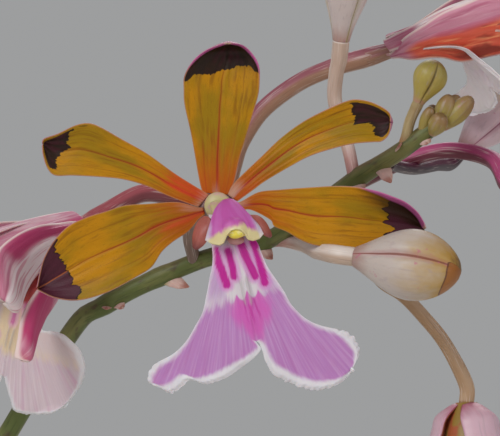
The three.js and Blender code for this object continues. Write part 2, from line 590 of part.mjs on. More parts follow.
/** An opening bud: its petals stand in the middle, and its three sepals part from the foot. */
function openingBudGeometry(bud, footRadius) {
  const foot = vector(bud.foot);
  const reach = vector(bud.tip).sub(foot);
  const length = reach.length();
  const turn = new THREE.Quaternion().setFromUnitVectors(vector([0, 0, 1]), reach.clone().normalize());
  const belly = bellied(footRadius, BUD.tipRadius, bud.width / 2, bud.fullest);
  const core = rod(curveThrough([[0, 0, 0], [0, 0, 0.8 * length]]), (t) => 0.6 * belly(t), OVAL);
  const base = oval([0, 0, 0.5 * BUD.base], [BUD.base, BUD.base, 0.5 * BUD.base]);
  const sepals = [30, 150, 270].map((azimuth) => {
    const shell = reshape(thinBoard(2, BUD.steps), (u, y, side) => {
      const t = (y + 0.5) * TEPAL.end;
      const radius = belly(t) + TEPAL.thickness * side;
      const angle = u * Math.PI * 0.3 * (1 - 0.35 * t);
      return vector([radius * Math.cos(angle), radius * Math.sin(angle), t * length]);
    });
    return shell
      .rotateY(THREE.MathUtils.degToRad(bud.parted))
      .rotateZ(THREE.MathUtils.degToRad(azimuth));
  });
  return fuse([base, core, ...sepals]).applyQuaternion(turn).translate(foot.x, foot.y, foot.z);
}

// Blooms, each in its own frame: x to its right, y up and z toward whoever looks at it

function tepalRelief({ rise, arch, channel, cup }) {
  return (s, u) => rise * s ** 2 + arch * Math.sin(Math.PI * s) * s
    + channel * u * u * smooth(0.3, 0.7, s) + cup * smooth(0.82, 1, s) ** 1.5 - 0.5 * TEPAL.thickness;
}

/** A tepal, rolled in from its margins to a share of its width and folded forward about its foot. */
function tepalForm(tepal, mesh, fold = 0, share = 1) {
  const form = blade(tepal.left, tepal.right, tepalRelief(tepal), { ...TEPAL, ...mesh, share });
  const direction = THREE.MathUtils.degToRad(tepal.direction);
  const hinge = vector([Math.cos(direction), Math.sin(direction), 0]).multiplyScalar(TEPAL.foldRadius);
  const hingeAxis = vector([Math.sin(direction), -Math.cos(direction), 0]);
  const turn = new THREE.Quaternion().setFromAxisAngle(hingeAxis, THREE.MathUtils.degToRad(fold));
  return form.translate(-hinge.x, -hinge.y, 0).applyQuaternion(turn).translate(hinge.x, hinge.y, 0);
}

function tepalForms({ folds, rolled = {}, mesh }) {
  const { radius, back, front, sides } = RECEPTACLE;
  const receptacle = new THREE.CylinderGeometry(radius, 0.8 * radius, front - back, sides)
    .rotateX(Math.PI / 2)
    .translate(0, 0, (front + back) / 2);
  const names = Object.keys(TEPALS);
  return [receptacle, ...names.map((name) => tepalForm(TEPALS[name], mesh, folds[name], rolled[name]))];
}

/** How far a point of the lip lies down along the lip's axis and out to one side of it. */
function lipPlace({ axis }, [x, y]) {
  const along = vector(axis.at(-1)).sub(vector(axis[0])).normalize();
  const from = vector([x, y]).sub(vector(axis[0]));
  return { down: from.dot(along), out: from.x * along.y - from.y * along.x, along };
}

/** The height of the lip over its outline: highest along its axis, with a ridge near the claw. */
function lipHeight(shape, x, y) {
  const { down, out } = lipPlace(shape, [x, y]);
  const ridge = shape.ridge * Math.exp(-((out / shape.ridgeWidth) ** 2)) * smooth(13, 8, down);
  return shape.height - shape.droop * (out * out + 0.5 * (down - 5) ** 2) + ridge;
}

/** The points of one side of the lip, mirrored in its axis. */
function mirrored(shape, points) {
  return points.map(([x, y]) => {
    const { out, along } = lipPlace(shape, [x, y]);
    return [x - 2 * out * along.y, y + 2 * out * along.x];
  });
}

/** One lobe of the lip. The lobes share the axis as far as the notch, and part below it. */
function lipLobe(shape, outer, lower, { across, along, toNotch }) {
  const share = toNotch / along;
  const [outerMargin, axis, lowerMargin] = [outer, shape.axis, [shape.axis.at(-1), ...lower]].map(curveThrough);
  return reshape(thinBoard(across, along), (u, y, side) => {
    const s = y + 0.5;
    const inner = s <= share + 1e-6
      ? axis.getPointAt(Math.min(s / share, 1))
      : lowerMargin.getPointAt((s - share) / (1 - share) * TEPAL.end);
    const place = inner.lerp(outerMargin.getPointAt(s * TEPAL.end), (u + 1) / 2);
    place.z = lipHeight(shape, place.x, place.y) + side * LIP_THICKNESS;
    return place;
  });
}

function lipLobes(shape, mesh) {
  const { rightOuter, rightLower } = shape;
  const { leftOuter = mirrored(shape, rightOuter), leftLower = mirrored(shape, rightLower) } = shape;
  return [lipLobe(shape, leftOuter, leftLower, mesh), lipLobe(shape, rightOuter, rightLower, mesh)];
}

/** The side lobes of the lip: a rounded ear on each side of the column, carried by the claw. */
function earForms() {
  return EARS.flatMap(({ centre, radius }) => {
    const arm = curveThrough([CLAW.route[1], centre]);
    return [oval(centre, radius), rod(arm, () => EAR_ARM.radius, EAR_ARM)];
  });
}

/** A flat rod: the claw of the lip, or the column, wider toward its end. */
function flatRod({ route, base, end, thickness }, side) {
  return rod(curveThrough(route), tapered(base, end), { ...OVAL, side, halfDepth: () => thickness / 2 });
}

/** The lip and column of an open bloom. */
function lipAndColumnForms({ lipMesh }) {
  return [
    ...lipLobes(LIPS.spread, lipMesh), flatRod(CLAW, [1, 0, 0]), flatRod(COLUMN, [1, 0, 0]),
    oval(COLUMN_FOOT.centre, COLUMN_FOOT.radius), oval(ANTHER.centre, ANTHER.radius), ...earForms(),
  ];
}

/** The lip and column of a closed bloom, whose lip is placed by its top. */
function hangingLipForms(bloom) {
  const { shape, scale } = bloom.lip;
  const toBloom = facingFrame(bloom).invert();
  const frame = toBloom.clone().multiply(facingFrame(bloom.lip));
  const side = vector([1, 0, 0]).transformDirection(frame).toArray();
  const clawEnd = vector([0, -HANGING.overlap, 0]).applyMatrix4(frame);
  const columnTip = vector(bloom.columnTip).applyMatrix4(toBloom);
  const columnEnd = HANGING.columnShare * COLUMN.end;
  const lobes = lipLobes(shape, bloom.lipMesh).map((lobe) => lobe
    .translate(-shape.axis[0][0], -shape.axis[0][1], -shape.height)
    .scale(scale, scale, 1)
    .applyMatrix4(frame));
  return [
    ...lobes,
    flatRod({ ...CLAW, route: [HANGING.root, clawEnd.toArray()], end: scale * CLAW.end }, side),
    flatRod({ ...COLUMN, route: [HANGING.root, columnTip.toArray()], end: columnEnd }, side),
  ];
}

/** The frame of a bloom or of a lip: x to its right, y up and z the way it faces. */
function facingFrame({ at, facing, roll }) {
  const forward = vector(facing).normalize();
  const right = vector([0, 0, 1]).cross(forward).normalize();
  const upward = forward.clone().cross(right);
  return new THREE.Matrix4().makeBasis(right, upward, forward)
    .multiply(new THREE.Matrix4().makeRotationZ(THREE.MathUtils.degToRad(roll)))
    .setPosition(vector(at));
}

function bloomGroup(name, bloom) {
  const group = new THREE.Group();
  group.applyMatrix4(facingFrame(bloom));
  if (bloom.lip) {
    group.add(part(`${name}_bloom`, fuse([...tepalForms(bloom), ...hangingLipForms(bloom)]), 'agedBloom'));
  } else {
    group.add(part(`${name}_bloom_tepals`, fuse(tepalForms(bloom)), 'tepal'));
    group.add(part(`${name}_bloom_lip_and_column`, fuse(lipAndColumnForms(bloom)), 'lip'));
  }
  return group;
}

// The plant in its pot

function part(name, geometry, colour, roughness = 0.6) {
  const material = new THREE.MeshStandardMaterial({ color: COLOURS[colour], roughness, metalness: 0 });
  const mesh = new THREE.Mesh(geometry, material);
  mesh.name = name;
  return mesh;
}

function shootGroup(shoot, number) {
  const group = new THREE.Group();
  group.position.set(...shoot.at, bulbFoot());
  group.rotation.y = THREE.MathUtils.degToRad(shoot.tilt);
  group.add(part(`pseudobulb_${number}`, bulbGeometry(shoot), 'bulb', 0.45));
  shoot.leaves.forEach((leaf, i) => {
    const mesh = part(`leaf_${number}_${i + 1}`, leafGeometry(leaf), 'leaf', 0.4);
    mesh.position.z = shoot.height;
    mesh.rotation.z = THREE.MathUtils.degToRad(leaf.azimuth);
    group.add(mesh);
  });
  return group;
}

function plantInPot() {
  const plant = new THREE.Group();
  plant.add(part('pot', potGeometry(), 'clay', 0.85));
  plant.add(part('potting_medium', mediumGeometry(), 'bark', 0.9));
  plant.add(part('rhizome_and_roots', fuse(rhizomeForms()), 'root', 0.7));
  SHOOTS.forEach((shoot, i) => plant.add(shootGroup(shoot, i + 1)));
  plant.add(part('flower_stem', stemGeometry(), 'stem', 0.5));
  Object.entries(BLOOMS).forEach(([name, bloom]) => plant.add(bloomGroup(name, bloom)));
  Object.entries(BUDS).forEach(([name, bud]) => {
    const footRadius = BUD_STALKS[name].girth[1];
    const geometry = bud.parted ? openingBudGeometry(bud, footRadius) : closedBudGeometry(bud, footRadius);
    plant.add(part(`${name}_bud`, geometry, name === 'small' ? 'greenBud' : 'bud', 0.5));
  });
  return plant;
}

export default plantInPot();
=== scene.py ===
"""Psychilis atropurpurea in a clay pot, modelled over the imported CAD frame. Sizes are in mm, meshes in metres."""

import logging
import math
from dataclasses import dataclass, field
from enum import Enum
from typing import Callable, Sequence

import bpy
import numpy as np
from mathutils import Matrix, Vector, noise


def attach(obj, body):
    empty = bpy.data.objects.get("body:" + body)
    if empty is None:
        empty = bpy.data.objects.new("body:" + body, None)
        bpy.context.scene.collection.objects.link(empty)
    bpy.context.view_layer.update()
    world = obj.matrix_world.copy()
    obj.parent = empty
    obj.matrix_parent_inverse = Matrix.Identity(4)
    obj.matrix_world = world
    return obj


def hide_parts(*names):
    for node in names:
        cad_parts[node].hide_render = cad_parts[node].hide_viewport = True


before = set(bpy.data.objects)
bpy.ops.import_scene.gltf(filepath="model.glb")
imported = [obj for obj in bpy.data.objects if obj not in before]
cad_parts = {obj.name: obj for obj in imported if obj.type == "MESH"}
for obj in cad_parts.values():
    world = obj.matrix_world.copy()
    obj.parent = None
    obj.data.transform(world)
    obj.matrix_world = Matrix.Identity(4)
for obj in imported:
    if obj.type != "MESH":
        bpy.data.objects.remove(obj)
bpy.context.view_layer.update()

MM = 0.001
Array = np.ndarray
Point = Sequence[float]
Line = tuple[Point, ...]
Pair = tuple[float, float]
Piece = bpy.types.Object
Tree = bpy.types.NodeTree
Socket = bpy.types.NodeSocket
Laid = tuple[Array, dict[str, Array | float]]
Layout = Callable[[Array, Array], Laid]
UP = (0, 0, 1)
# A whole turn, and the angle between two of three sepals or seams
TURN = 2 * math.pi
THIRD = TURN / 3
# Points of a mesh that are closer than this, in metres, are one
WELD = 2e-6

log = logging.getLogger("orchid")


# Curves, frames and repeatable unevenness


def smooth(low: float, high: float, value: Array) -> Array:
    """Returns a fade from 0 where the value is low to 1 where it is high, which may be below low."""
    share = np.clip((value - low) / (high - low), 0.0, 1.0)
    return share * share * (3 - 2 * share)


def uneven(seed: int, place: Array, size: float) -> Array:
    """Gives soft, repeatable unevenness along a line.

    Args:
        seed: Which line of unevenness.
        place: Where along the line.
        size: How far apart its swells are.

    Returns:
        Values between -1 and 1.
    """
    swells = np.random.default_rng(seed).uniform(-1, 1, 512)
    step = np.floor(place / size).astype(int)
    share = smooth(0, 1, place / size - step)
    return swells[step % 512] * (1 - share) + swells[(step + 1) % 512] * share


def between(ends: Pair, share: Array) -> Array:
    """Returns values between two ends at shares of the way."""
    return ends[0] + (ends[1] - ends[0]) * share


def unit(vector: Point) -> Array:
    """Returns the vector at length one."""
    return np.asarray(vector, float) / np.linalg.norm(vector)


def spots(*axes: Array | float) -> Array:
    """Returns points from their coordinates, or from their distances along several axes."""
    return np.stack(np.broadcast_arrays(*axes), axis=-1)


def ring(radius: Array | float, angle: Array, height: Array) -> Array:
    """Returns points round the upright axis."""
    return spots(radius * np.cos(angle), radius * np.sin(angle), height)


def cos_sin(degrees: float) -> Pair:
    """Returns the cosine and sine of an angle in degrees."""
    return math.cos(math.radians(degrees)), math.sin(math.radians(degrees))


def bump(place: Array | float, width: float) -> Array:
    """Returns a bell that is 1 where the place is 0 and fades over its width."""
    return np.exp(-((place / width) ** 2))


class Route:
    """A smooth curve through points, followed by its length."""

    def __init__(self, points: Sequence[Point]) -> None:
        """Samples the curve closely.

        Args:
            points: What it passes through, in mm, with two or three coordinates.
        """
        known = np.array([[*point, 0.0][:3] for point in points], float)
        known = np.vstack([2 * known[0] - known[1], known, 2 * known[-1] - known[-2]])
        t = np.linspace(0, 1, 32, endpoint=False)[:, None]
        spans = [
            (2 * t**3 - 3 * t**2 + 1) * b + (t**3 - 2 * t**2 + t) * (c - a) / 2
            + (3 * t**2 - 2 * t**3) * c + (t**3 - t**2) * (d - b) / 2
            for a, b, c, d in zip(known, known[1:], known[2:], known[3:])
        ]
        self.samples = np.vstack([*spans, known[-2]])
        steps = np.linalg.norm(np.diff(self.samples, axis=0), axis=1)
        self.reach = np.concatenate([[0.0], np.cumsum(steps)])
        self.length = float(self.reach[-1])

    def read(self, track: Array, t: Array) -> Array:
        """Reads a track of samples at shares t of the curve's length."""
        share = self.reach / self.length
        return np.stack([np.interp(t, share, track[:, axis]) for axis in range(3)], axis=-1)

    def at(self, t: Array) -> Array:
        """Returns the points at shares t of the length."""
        return self.read(self.samples, t)

    def sides(self, t: Array, front: Point) -> tuple[Array, Array]:
        """Carries two directions across the curve along it without twist.

        Args:
            t: Shares of the length.
            front: The way the first direction faces at the start.

        Returns:
            The first direction and the one square to it, at each share.
        """
        tangents = np.gradient(self.samples, axis=0)
        tangents /= np.linalg.norm(tangents, axis=1)[:, None]
        facing = np.asarray(front, float)
        carried = []
        for tangent in tangents:
            facing = unit(facing - tangent * (facing @ tangent))
            carried.append(facing)
        first = np.array(carried)
        second = np.cross(tangents, first)
        return self.read(first, t), self.read(second, t)


def ruled(left: Route, right: Route, t: Array, share: Array) -> tuple[Array, Array]:
    """Lays points on straight lines between two curves.

    Args:
        left: The curve where the share is 0.
        right: The curve where it is 1.
        t: Shares of the curves' lengths.
        share: How far each point is on its way across.

    Returns:
        The points and how far apart the curves are at each.
    """
    a, b = left.at(t), right.at(t)
    return a + (b - a) * share[:, None], np.linalg.norm(b - a, axis=1)


def facing_frame(at: Point, facing: Point, roll: float) -> Array:
    """Gives the frame of a bloom or a lip: x to its right, y up and z the way it faces.

    Args:
        at: Its place in mm.
        facing: The way it faces.
        roll: Its turn in its own plane, in degrees.

    Returns:
        A 4 by 4 matrix.
    """
    forward = unit(facing)
    right = unit(np.cross(UP, forward))
    upward = np.cross(forward, right)
    c, s = cos_sin(roll)
    matrix = np.eye(4)
    matrix[:3] = spots(right * c + upward * s, upward * c - right * s, forward, at)
    return matrix


def moved(matrix: Array, points: Array | Sequence[Point] | Point) -> Array:
    """Returns the points as the matrix places them."""
    return np.asarray(points, float) @ matrix[:3, :3].T + matrix[:3, 3]


def bellied(foot: float, tip: float, belly: float, fullest: float) -> Callable[[Array], Array]:
    """Gives the radius of a bud or pseudobulb along its length.

    Args:
        foot: Radius at the foot.
        tip: Radius at the tip.
        belly: The widest radius.
        fullest: Where it is widest, as a share of the length.

    Returns:
        A function from the share of the length to the radius.
    """
    power = math.log(0.5) / math.log(fullest)

    def radius(t: Array) -> Array:
        """Returns the radius at shares t of the length."""
        sharpness = 0.9 - 0.3 * smooth(fullest - 0.08, fullest + 0.08, t)
        swell = np.sin(np.pi * np.clip(t, 1e-6, 0.9995) ** power) ** sharpness
        return between((foot, tip), t) * (1 - swell) + belly * swell

    return radius


# Making pieces


def pick(*pieces: Piece) -> None:
    """Selects these pieces and no others, with the first of them active."""
    bpy.ops.object.select_all(action="DESELECT")
    for piece in pieces:
        piece.select_set(True)
        bpy.context.view_layer.objects.active = pieces[0]


def mark(piece: Piece, name: str, values: Array | float) -> None:
    """Writes a measure on the points of a piece.

    Args:
        piece: The piece.
        name: The name of the measure.
        values: A number or a vector for each point, or one number for them all.
    """
    kind, key = ("FLOAT_VECTOR", "vector") if np.ndim(values) > 1 else ("FLOAT", "value")
    if not np.ndim(values):
        values = np.full(len(piece.data.vertices), float(values))
    measures = piece.data.attributes
    (measures.get(name) or measures.new(name, kind, "POINT")).data.foreach_set(key, np.ravel(values))


def measured(piece: Piece, name: str, parts: int = 1) -> Array:
    """Reads a measure from the points of a piece.

    Args:
        piece: The piece.
        name: The name of the measure.
        parts: 1 for a number and 3 for a vector.

    Returns:
        Its parts, each with a value for each point.
    """
    values = np.empty(parts * len(piece.data.vertices))
    piece.data.attributes[name].data.foreach_get("value" if parts == 1 else "vector", values)
    return values.reshape(-1, parts).T


def lay_grid(name: str, across: int, along: int, layout: Layout) -> Piece:
    """Adds a grid and moves each of its points to its place.

    Args:
        name: The name of the piece.
        across: Faces across the grid.
        along: Faces along the grid.
        layout: Gives places in mm, and marks, from shares across and along.

    Returns:
        The piece, with its marks as attributes.
    """
    pick()
    bpy.ops.mesh.primitive_grid_add(x_subdivisions=across, y_subdivisions=along, size=2)
    piece = bpy.context.object
    piece.name = piece.data.name = name
    flat = np.empty(3 * len(piece.data.vertices))
    piece.data.vertices.foreach_get("co", flat)
    flat = (flat.reshape(-1, 3) + 1) / 2
    places, marks = layout(flat[:, 0], flat[:, 1])
    piece.data.vertices.foreach_set("co", (places * MM).ravel())
    for measure, values in marks.items():
        mark(piece, measure, values)
    return piece


def close_up(piece: Piece, wrapped: bool = True) -> Piece:
    """Merges the doubles of a grid, and turns its faces outward where it wraps round.

    Args:
        piece: The piece.
        wrapped: Whether it wraps round.

    Returns:
        The same piece.
    """
    pick(piece)
    bpy.ops.object.mode_set(mode="EDIT")
    bpy.ops.mesh.select_all(action="SELECT")
    bpy.ops.mesh.remove_doubles(threshold=WELD)
    if wrapped:
        bpy.ops.mesh.normals_make_consistent(inside=False)
    bpy.ops.object.mode_set(mode="OBJECT")
    return piece


def turned(name: str, sides: int, outline: Sequence[Point]) -> Piece:
    """Turns an outline round the upright axis.

    Args:
        name: The name of the piece.
        sides: Faces round it.
        outline: Radii and heights in mm, from the axis and back to it.

    Returns:
        The closed piece.
    """
    profile = np.array(outline, float)

    def layout(u: Array, v: Array) -> Laid:
        """Turns the outline round the axis."""
        radius, height = profile[np.rint(v * (len(profile) - 1)).astype(int)].T
        return ring(radius, TURN * u, height), {"height": height}

    return close_up(lay_grid(name, sides, len(profile) - 1, layout))


def apply(piece: Piece, kind: str, **settings: object) -> None:
    """Adds a modifier with its settings and applies it.

    Args:
        piece: The piece.
        kind: The kind of modifier.
        **settings: Its settings.
    """
    pick(piece)
    modifier = piece.modifiers.new(kind.title(), kind)
    for setting, value in settings.items():
        setattr(modifier, setting, value)
    bpy.ops.object.modifier_apply(modifier=modifier.name)


def thicken(piece: Piece, thickness: float, rim: float) -> Piece:
    """Gives a sheet its thickness behind its front, as much of it as its mark "full" says.

    Args:
        piece: The sheet.
        thickness: The thickness in mm where "full" is 1.
        rim: The share of it where "full" is 0.

    Returns:
        The same piece, with a mark "back" on its rear side.
    """
    full = np.clip(measured(piece, "full")[0], 0, 1).tolist()
    group = piece.vertex_groups.new(name="full")
    for index, weight in enumerate(full):
        group.add([index], weight, "REPLACE")
    depth = {"thickness": thickness * MM, "thickness_vertex_group": rim}
    apply(piece, "SOLIDIFY", offset=-1, vertex_group="full", **depth)
    mark(piece, "back", (np.arange(len(piece.data.vertices)) >= len(full)).astype(float))
    piece.vertex_groups.clear()
    return piece


def joined(name: str, pieces: Sequence[Piece]) -> Piece:
    """Joins pieces into one.

    Args:
        name: The name of the whole.
        pieces: What it is made of.

    Returns:
        The whole.
    """
    pick(*pieces)
    if len(pieces) > 1:
        bpy.ops.object.join()
    pieces[0].name = pieces[0].data.name = name
    return pieces[0]


def settle(piece: Piece, finish: "Finish", node_name: str, angle: float = 180) -> None:
    """Smooths and dresses a finished piece and gives it its place in the frame.

    Args:
        piece: The piece.
        finish: What it is made of.
        node_name: The CAD node that it stands for.
        angle: Edges sharper than this, in degrees, stay sharp.
    """
    pick(piece)
    if angle < 180:
        bpy.ops.object.shade_smooth_by_angle(angle=math.radians(angle))
    else:
        bpy.ops.object.shade_smooth()
    piece.data.materials.clear()
    piece.data.materials.append(finish.material())
    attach(piece, "root")
    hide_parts(node_name)
    log.info("%s: %d faces of %s", piece.name, len(piece.data.polygons), finish.name)


def rod(
    name: str,
    route: Route,
    radius: Callable[[Array, Array], Array | float],
    sides: int,
    steps: int,
    round_end: int = 1,
    front: Point = (0, -1, 0),
    flatness: float = 1.0,
) -> Piece:
    """Makes a closed rod along a route.

    Args:
        name: The name of the piece.
        route: The line it follows.
        radius: Gives its radius from the share of its length and the angle from its front.
        sides: Faces round it.
        steps: Faces along it.
        round_end: Over how many of its steps it closes at its ends.
        front: The way its front faces at the foot.
        flatness: Its depth from front to back as a share of its width.

    Returns:
        The rod.
    """

    def layout(u: Array, v: Array) -> Laid:
        """Lays the grid round the route."""
        rim = round_end / steps
        t = np.clip((v - 1 / steps) / (1 - 2 / steps), 0, 1)
        near = np.clip(np.minimum(v, 1 - v) / rim, 0, 1)
        closing = np.sqrt(1 - (1 - near) ** 2)
        angle = TURN * u
        facing, square = route.sides(t, front)
        r = radius(t, angle) * closing
        out, wide = r * np.cos(angle) * flatness, r * np.sin(angle)
        places = route.at(t) + facing * out[:, None] + square * wide[:, None]
        return places, {"along": t, "flow": spots(wide, out, t * route.length)}

    return close_up(lay_grid(name, sides, steps, layout))


# Finishes


def linear(colour: str) -> Point:
    """Turns an sRGB hex colour, such as "#a5603f", into Blender's linear red, green, blue and alpha."""
    parts = [int(colour[i:i + 2], 16) / 255 for i in (1, 3, 5)]
    return *[c / 12.92 if c <= 0.04045 else ((c + 0.055) / 1.055) ** 2.4 for c in parts], 1.0


def node(tree: Tree, kind: str, settings: dict, links: dict) -> bpy.types.Node:
    """Adds a node with its settings and links.

    Args:
        tree: The material's node tree.
        kind: The kind of node, without "ShaderNode".
        settings: Values for its properties and its sockets.
        links: The sockets of other nodes that feed its sockets.

    Returns:
        The node.
    """
    made = tree.nodes.new(f"ShaderNode{kind}")
    for key, value in settings.items():
        if isinstance(key, str) and hasattr(made, key):
            setattr(made, key, value)
        else:
            made.inputs[key].default_value = value
    for key, source in links.items():
        tree.links.new(source, made.inputs[key])
    return made


class Space(Enum):
    """What a grain is laid out in: the object's own place, or the way a blade or rod has grown."""

    OBJECT = "Object"
    FLOW = "flow"


@dataclass(frozen=True)
class Upward:
    """How far the surface looks up."""

    def lay(self, tree: Tree) -> Socket:
        """Returns the socket that reads the upward part of the normal."""
        normal = node(tree, "NewGeometry", {}, {}).outputs["Normal"]
        return node(tree, "SeparateXYZ", {}, {0: normal}).outputs["Z"]


class Kind(Enum):
    """The kinds of grain."""

    CLOUDS = "TexNoise"
    BANDS = "TexWave"


@dataclass(frozen=True)
class Grain:
    """A fine pattern whose features are of a real size."""

    size: float
    stretch: tuple[float, float, float] = (1, 1, 1)
    space: Space = Space.FLOW
    kind: Kind = Kind.CLOUDS
    detail: float = 2
    warp: float = 0

    def lay(self, tree: Tree) -> Socket:
        """Lays the pattern out.

        Args:
            tree: The material's node tree.

        Returns:
            The socket with the pattern, from 0 to 1.
        """
        if self.space is Space.OBJECT:
            place, unit_size = node(tree, "TexCoord", {}, {}).outputs["Object"], MM
        else:
            place, unit_size = node(tree, "Attribute", {"attribute_name": "flow"}, {}).outputs["Vector"], 1.0
        period = math.pi / 10 if self.kind is Kind.BANDS else 1
        scale = [period / (self.size * unit_size * axis) for axis in self.stretch]
        spot = node(tree, "Mapping", {"Scale": scale}, {"Vector": place}).outputs["Vector"]
        settings = {"Scale": 1.0, "Detail": self.detail, "Distortion": self.warp}
        return node(tree, self.kind.value, settings, {"Vector": spot}).outputs[0]


@dataclass(frozen=True)
class Bound:
    """Where something shows: nothing at the start of a mark or measure, all of it at full, made ragged by a grain."""

    measure: str | Grain | Upward
    start: float
    full: float
    ragged: float = 0
    grain: Grain | None = None

    def lay(self, tree: Tree) -> Socket:
        """Lays the fade out.

        Args:
            tree: The material's node tree.

        Returns:
            The socket with the fade, from 0 to 1.
        """
        if isinstance(self.measure, str):
            value = node(tree, "Attribute", {"attribute_name": self.measure}, {}).outputs["Fac"]
        else:
            value = self.measure.lay(tree)
        middle = 0.0
        if self.grain:
            middle, links = self.ragged / 2, {0: self.grain.lay(tree), 2: value}
            value = node(tree, "Math", {"operation": "MULTIPLY_ADD", 1: self.ragged}, links).outputs[0]
        ends = {"From Min": self.start + middle, "From Max": self.full + middle}
        settings = {"interpolation_type": "SMOOTHSTEP", **ends}
        return node(tree, "MapRange", settings, {"Value": value}).outputs["Result"]


@dataclass(frozen=True)
class Stain:
    """A colour that lies over the ones before it, where its own bound and those that it lies within show it."""

    colour: str
    strength: float
    measure: str | Grain | Upward
    start: float
    full: float
    ragged: float = 0
    grain: Grain | None = None
    within: tuple[Bound, ...] = ()

    def lay(self, tree: Tree, under: Socket) -> Socket:
        """Lays the colour over another.

        Args:
            tree: The material's node tree.
            under: The socket of the colour below.

        Returns:
            The socket of the mixed colour.
        """
        share = Bound(self.measure, self.start, self.full, self.ragged, self.grain).lay(tree)
        for bound in self.within:
            links = {0: share, 1: bound.lay(tree)}
            share = node(tree, "Math", {"operation": "MULTIPLY"}, links).outputs[0]
        share = node(tree, "Math", {"operation": "MULTIPLY", 1: self.strength}, {0: share}).outputs[0]
        mixed = node(tree, "Mix", {"data_type": "RGBA", 7: linear(self.colour)}, {0: share, 6: under})
        return mixed.outputs[2]


@dataclass(frozen=True)
class Finish:
    """What a piece is made of: its colours, its reliefs, each a grain and its height in mm, and its gloss."""

    name: str
    colour: str
    stains: tuple[Stain, ...] = ()
    reliefs: tuple[tuple[Grain, float], ...] = ()
    roughness: float = 0.6
    sockets: tuple[tuple[str, object], ...] = ()

    def material(self) -> bpy.types.Material:
        """Builds the material once.

        Returns:
            The material.
        """
        known = bpy.data.materials.get(self.name)
        if known:
            return known
        made = bpy.data.materials.new(self.name)
        made.use_nodes = True
        tree, base = made.node_tree, linear(self.colour)
        shader = tree.nodes["Principled BSDF"]
        for socket, value in (("Roughness", self.roughness), ("Base Color", base), *self.sockets):
            shader.inputs[socket].default_value = value
        colour = node(tree, "Mix", {"data_type": "RGBA", 0: 0.0, 6: base, 7: base}, {}).outputs[2]
        for stain in self.stains:
            colour = stain.lay(tree, colour)
        tree.links.new(colour, shader.inputs["Base Color"])
        raised = {}
        for pattern, height in self.reliefs:
            links = {"Height": pattern.lay(tree)} | raised
            bumped = node(tree, "Bump", {"Strength": 1.0, "Distance": height * MM}, links)
            raised = {"Normal": bumped.outputs[0]}
        for socket, normal in raised.items():
            tree.links.new(normal, shader.inputs[socket])
        return made


def waxy(depth: float, weight: float = 0.18, gloss: float = 0.4) -> tuple[tuple[str, object], ...]:
    """Gives the sockets of soft living tissue, which light enters to a depth in mm."""
    return (
        ("Subsurface Weight", weight), ("Subsurface Radius", (1.0, 0.6, 0.4)),
        ("Subsurface Scale", depth * MM), ("Specular IOR Level", gloss),
    )


def strands(size: float, length: float, detail: float = 2) -> Grain:
    """Returns a grain that is drawn out along the way the piece has grown."""
    return Grain(size, (1, 1, length), detail=detail)


def lumps(size: float, detail: float = 4, flatness: float = 1) -> Grain:
    """Returns a grain in the object's own place."""
    return Grain(size, (1, 1, flatness), Space.OBJECT, detail=detail)


FIBRE = strands(0.5, 9)
FINE_FIBRE = strands(0.22, 14)
PORES = Grain(0.14, detail=1)

# Terracotta, moulded and fired without glaze: dull, gritty, with a pale bloom of lime where it has dried
TERRACOTTA = Finish("terracotta_moulded_unglazed", "#a9613f", (
    Stain("#bd7a55", 0.8, lumps(16), 0.4, 0.7),
    Stain("#7d4129", 0.5, lumps(1.1), 0.6, 0.78),
    Stain("#d8c2ae", 0.3, "height", 66, 10, 50, lumps(16, 5), within=(Bound(lumps(7, 5), 0.35, 0.8),)),
), ((lumps(0.7), 0.12), (Grain(1.5, (40, 40, 1), Space.OBJECT, detail=1), 0.06)), 0.9)
# Bark of pine in chips: dull, in layers, reddish inside and grey outside
PINE_BARK = Finish("pine_bark_chipped", "#5f4231", (
    Stain("#8a6347", 0.8, lumps(5), 0.45, 0.7),
    Stain("#3a271c", 0.8, lumps(1.6, 4, 0.4), 0.52, 0.7),
    Stain("#8d8577", 0.4, Upward(), 0.5, 0.95, 0.5, lumps(4)),
), ((lumps(2.2, 5, 0.35), 0.8), (lumps(0.5, 3), 0.15)), 0.92)
# Rhizome: woody, brown-green, wrapped in dry scales
RHIZOME_SKIN = Finish("rhizome_woody_scaled", "#7c7044", (
    Stain("#a79263", 0.8, strands(1.2, 6), 0.45, 0.65),
    Stain("#4b3c25", 0.7, Grain(6, (9, 9, 1), kind=Kind.BANDS, warp=2), 0.8, 1),
), ((strands(0.8, 7, 3), 0.25),), 0.75)
# Roots under velamen, a dry spongy coat: silvery white and dull, green where it is damp
VELAMEN = Finish("root_velamen_dry", "#cdc8b8", (
    Stain("#9aa27c", 0.55, strands(5, 2, 3), 0.5, 0.7),
    Stain("#a08a6a", 0.6, Grain(1.4, detail=4), 0.58, 0.75),
), ((strands(0.5, 5, 3), 0.12),), 0.82)
# Pseudobulb: green skin with a thin wax, duller and yellower as it ages
BULB_SKIN = Finish("pseudobulb_skin_waxy", "#78854a", (
    Stain("#97924f", 0.7, strands(7, 2.4, 3), 0.42, 0.7),
    Stain("#566336", 0.55, strands(0.8, 12), 0.52, 0.72),
    Stain("#9a7f52", 0.85, "age", 0.2, 1.3, 0.7, strands(4, 2, 4)),
    Stain("#5e4526", 0.6, Grain(0.9, detail=3), 0.68, 0.76),
), ((strands(0.7, 12, 3), 0.09),), 0.46, waxy(1.2, 0.08))
# Dead sheath: dry papery fibre, tan to grey, split along its length
PAPERY_SHEATH = Finish("sheath_dry_papery", "#b9a684", (
    Stain("#8d7653", 0.75, strands(0.5, 25), 0.45, 0.62),
    Stain("#d6cab0", 0.7, strands(2.5, 5, 3), 0.5, 0.75),
    Stain("#6b563a", 0.7, "along", 0.75, 1.0, 0.5, strands(1.5, 4, 3)),
), ((strands(0.4, 30), 0.14),), 0.8)
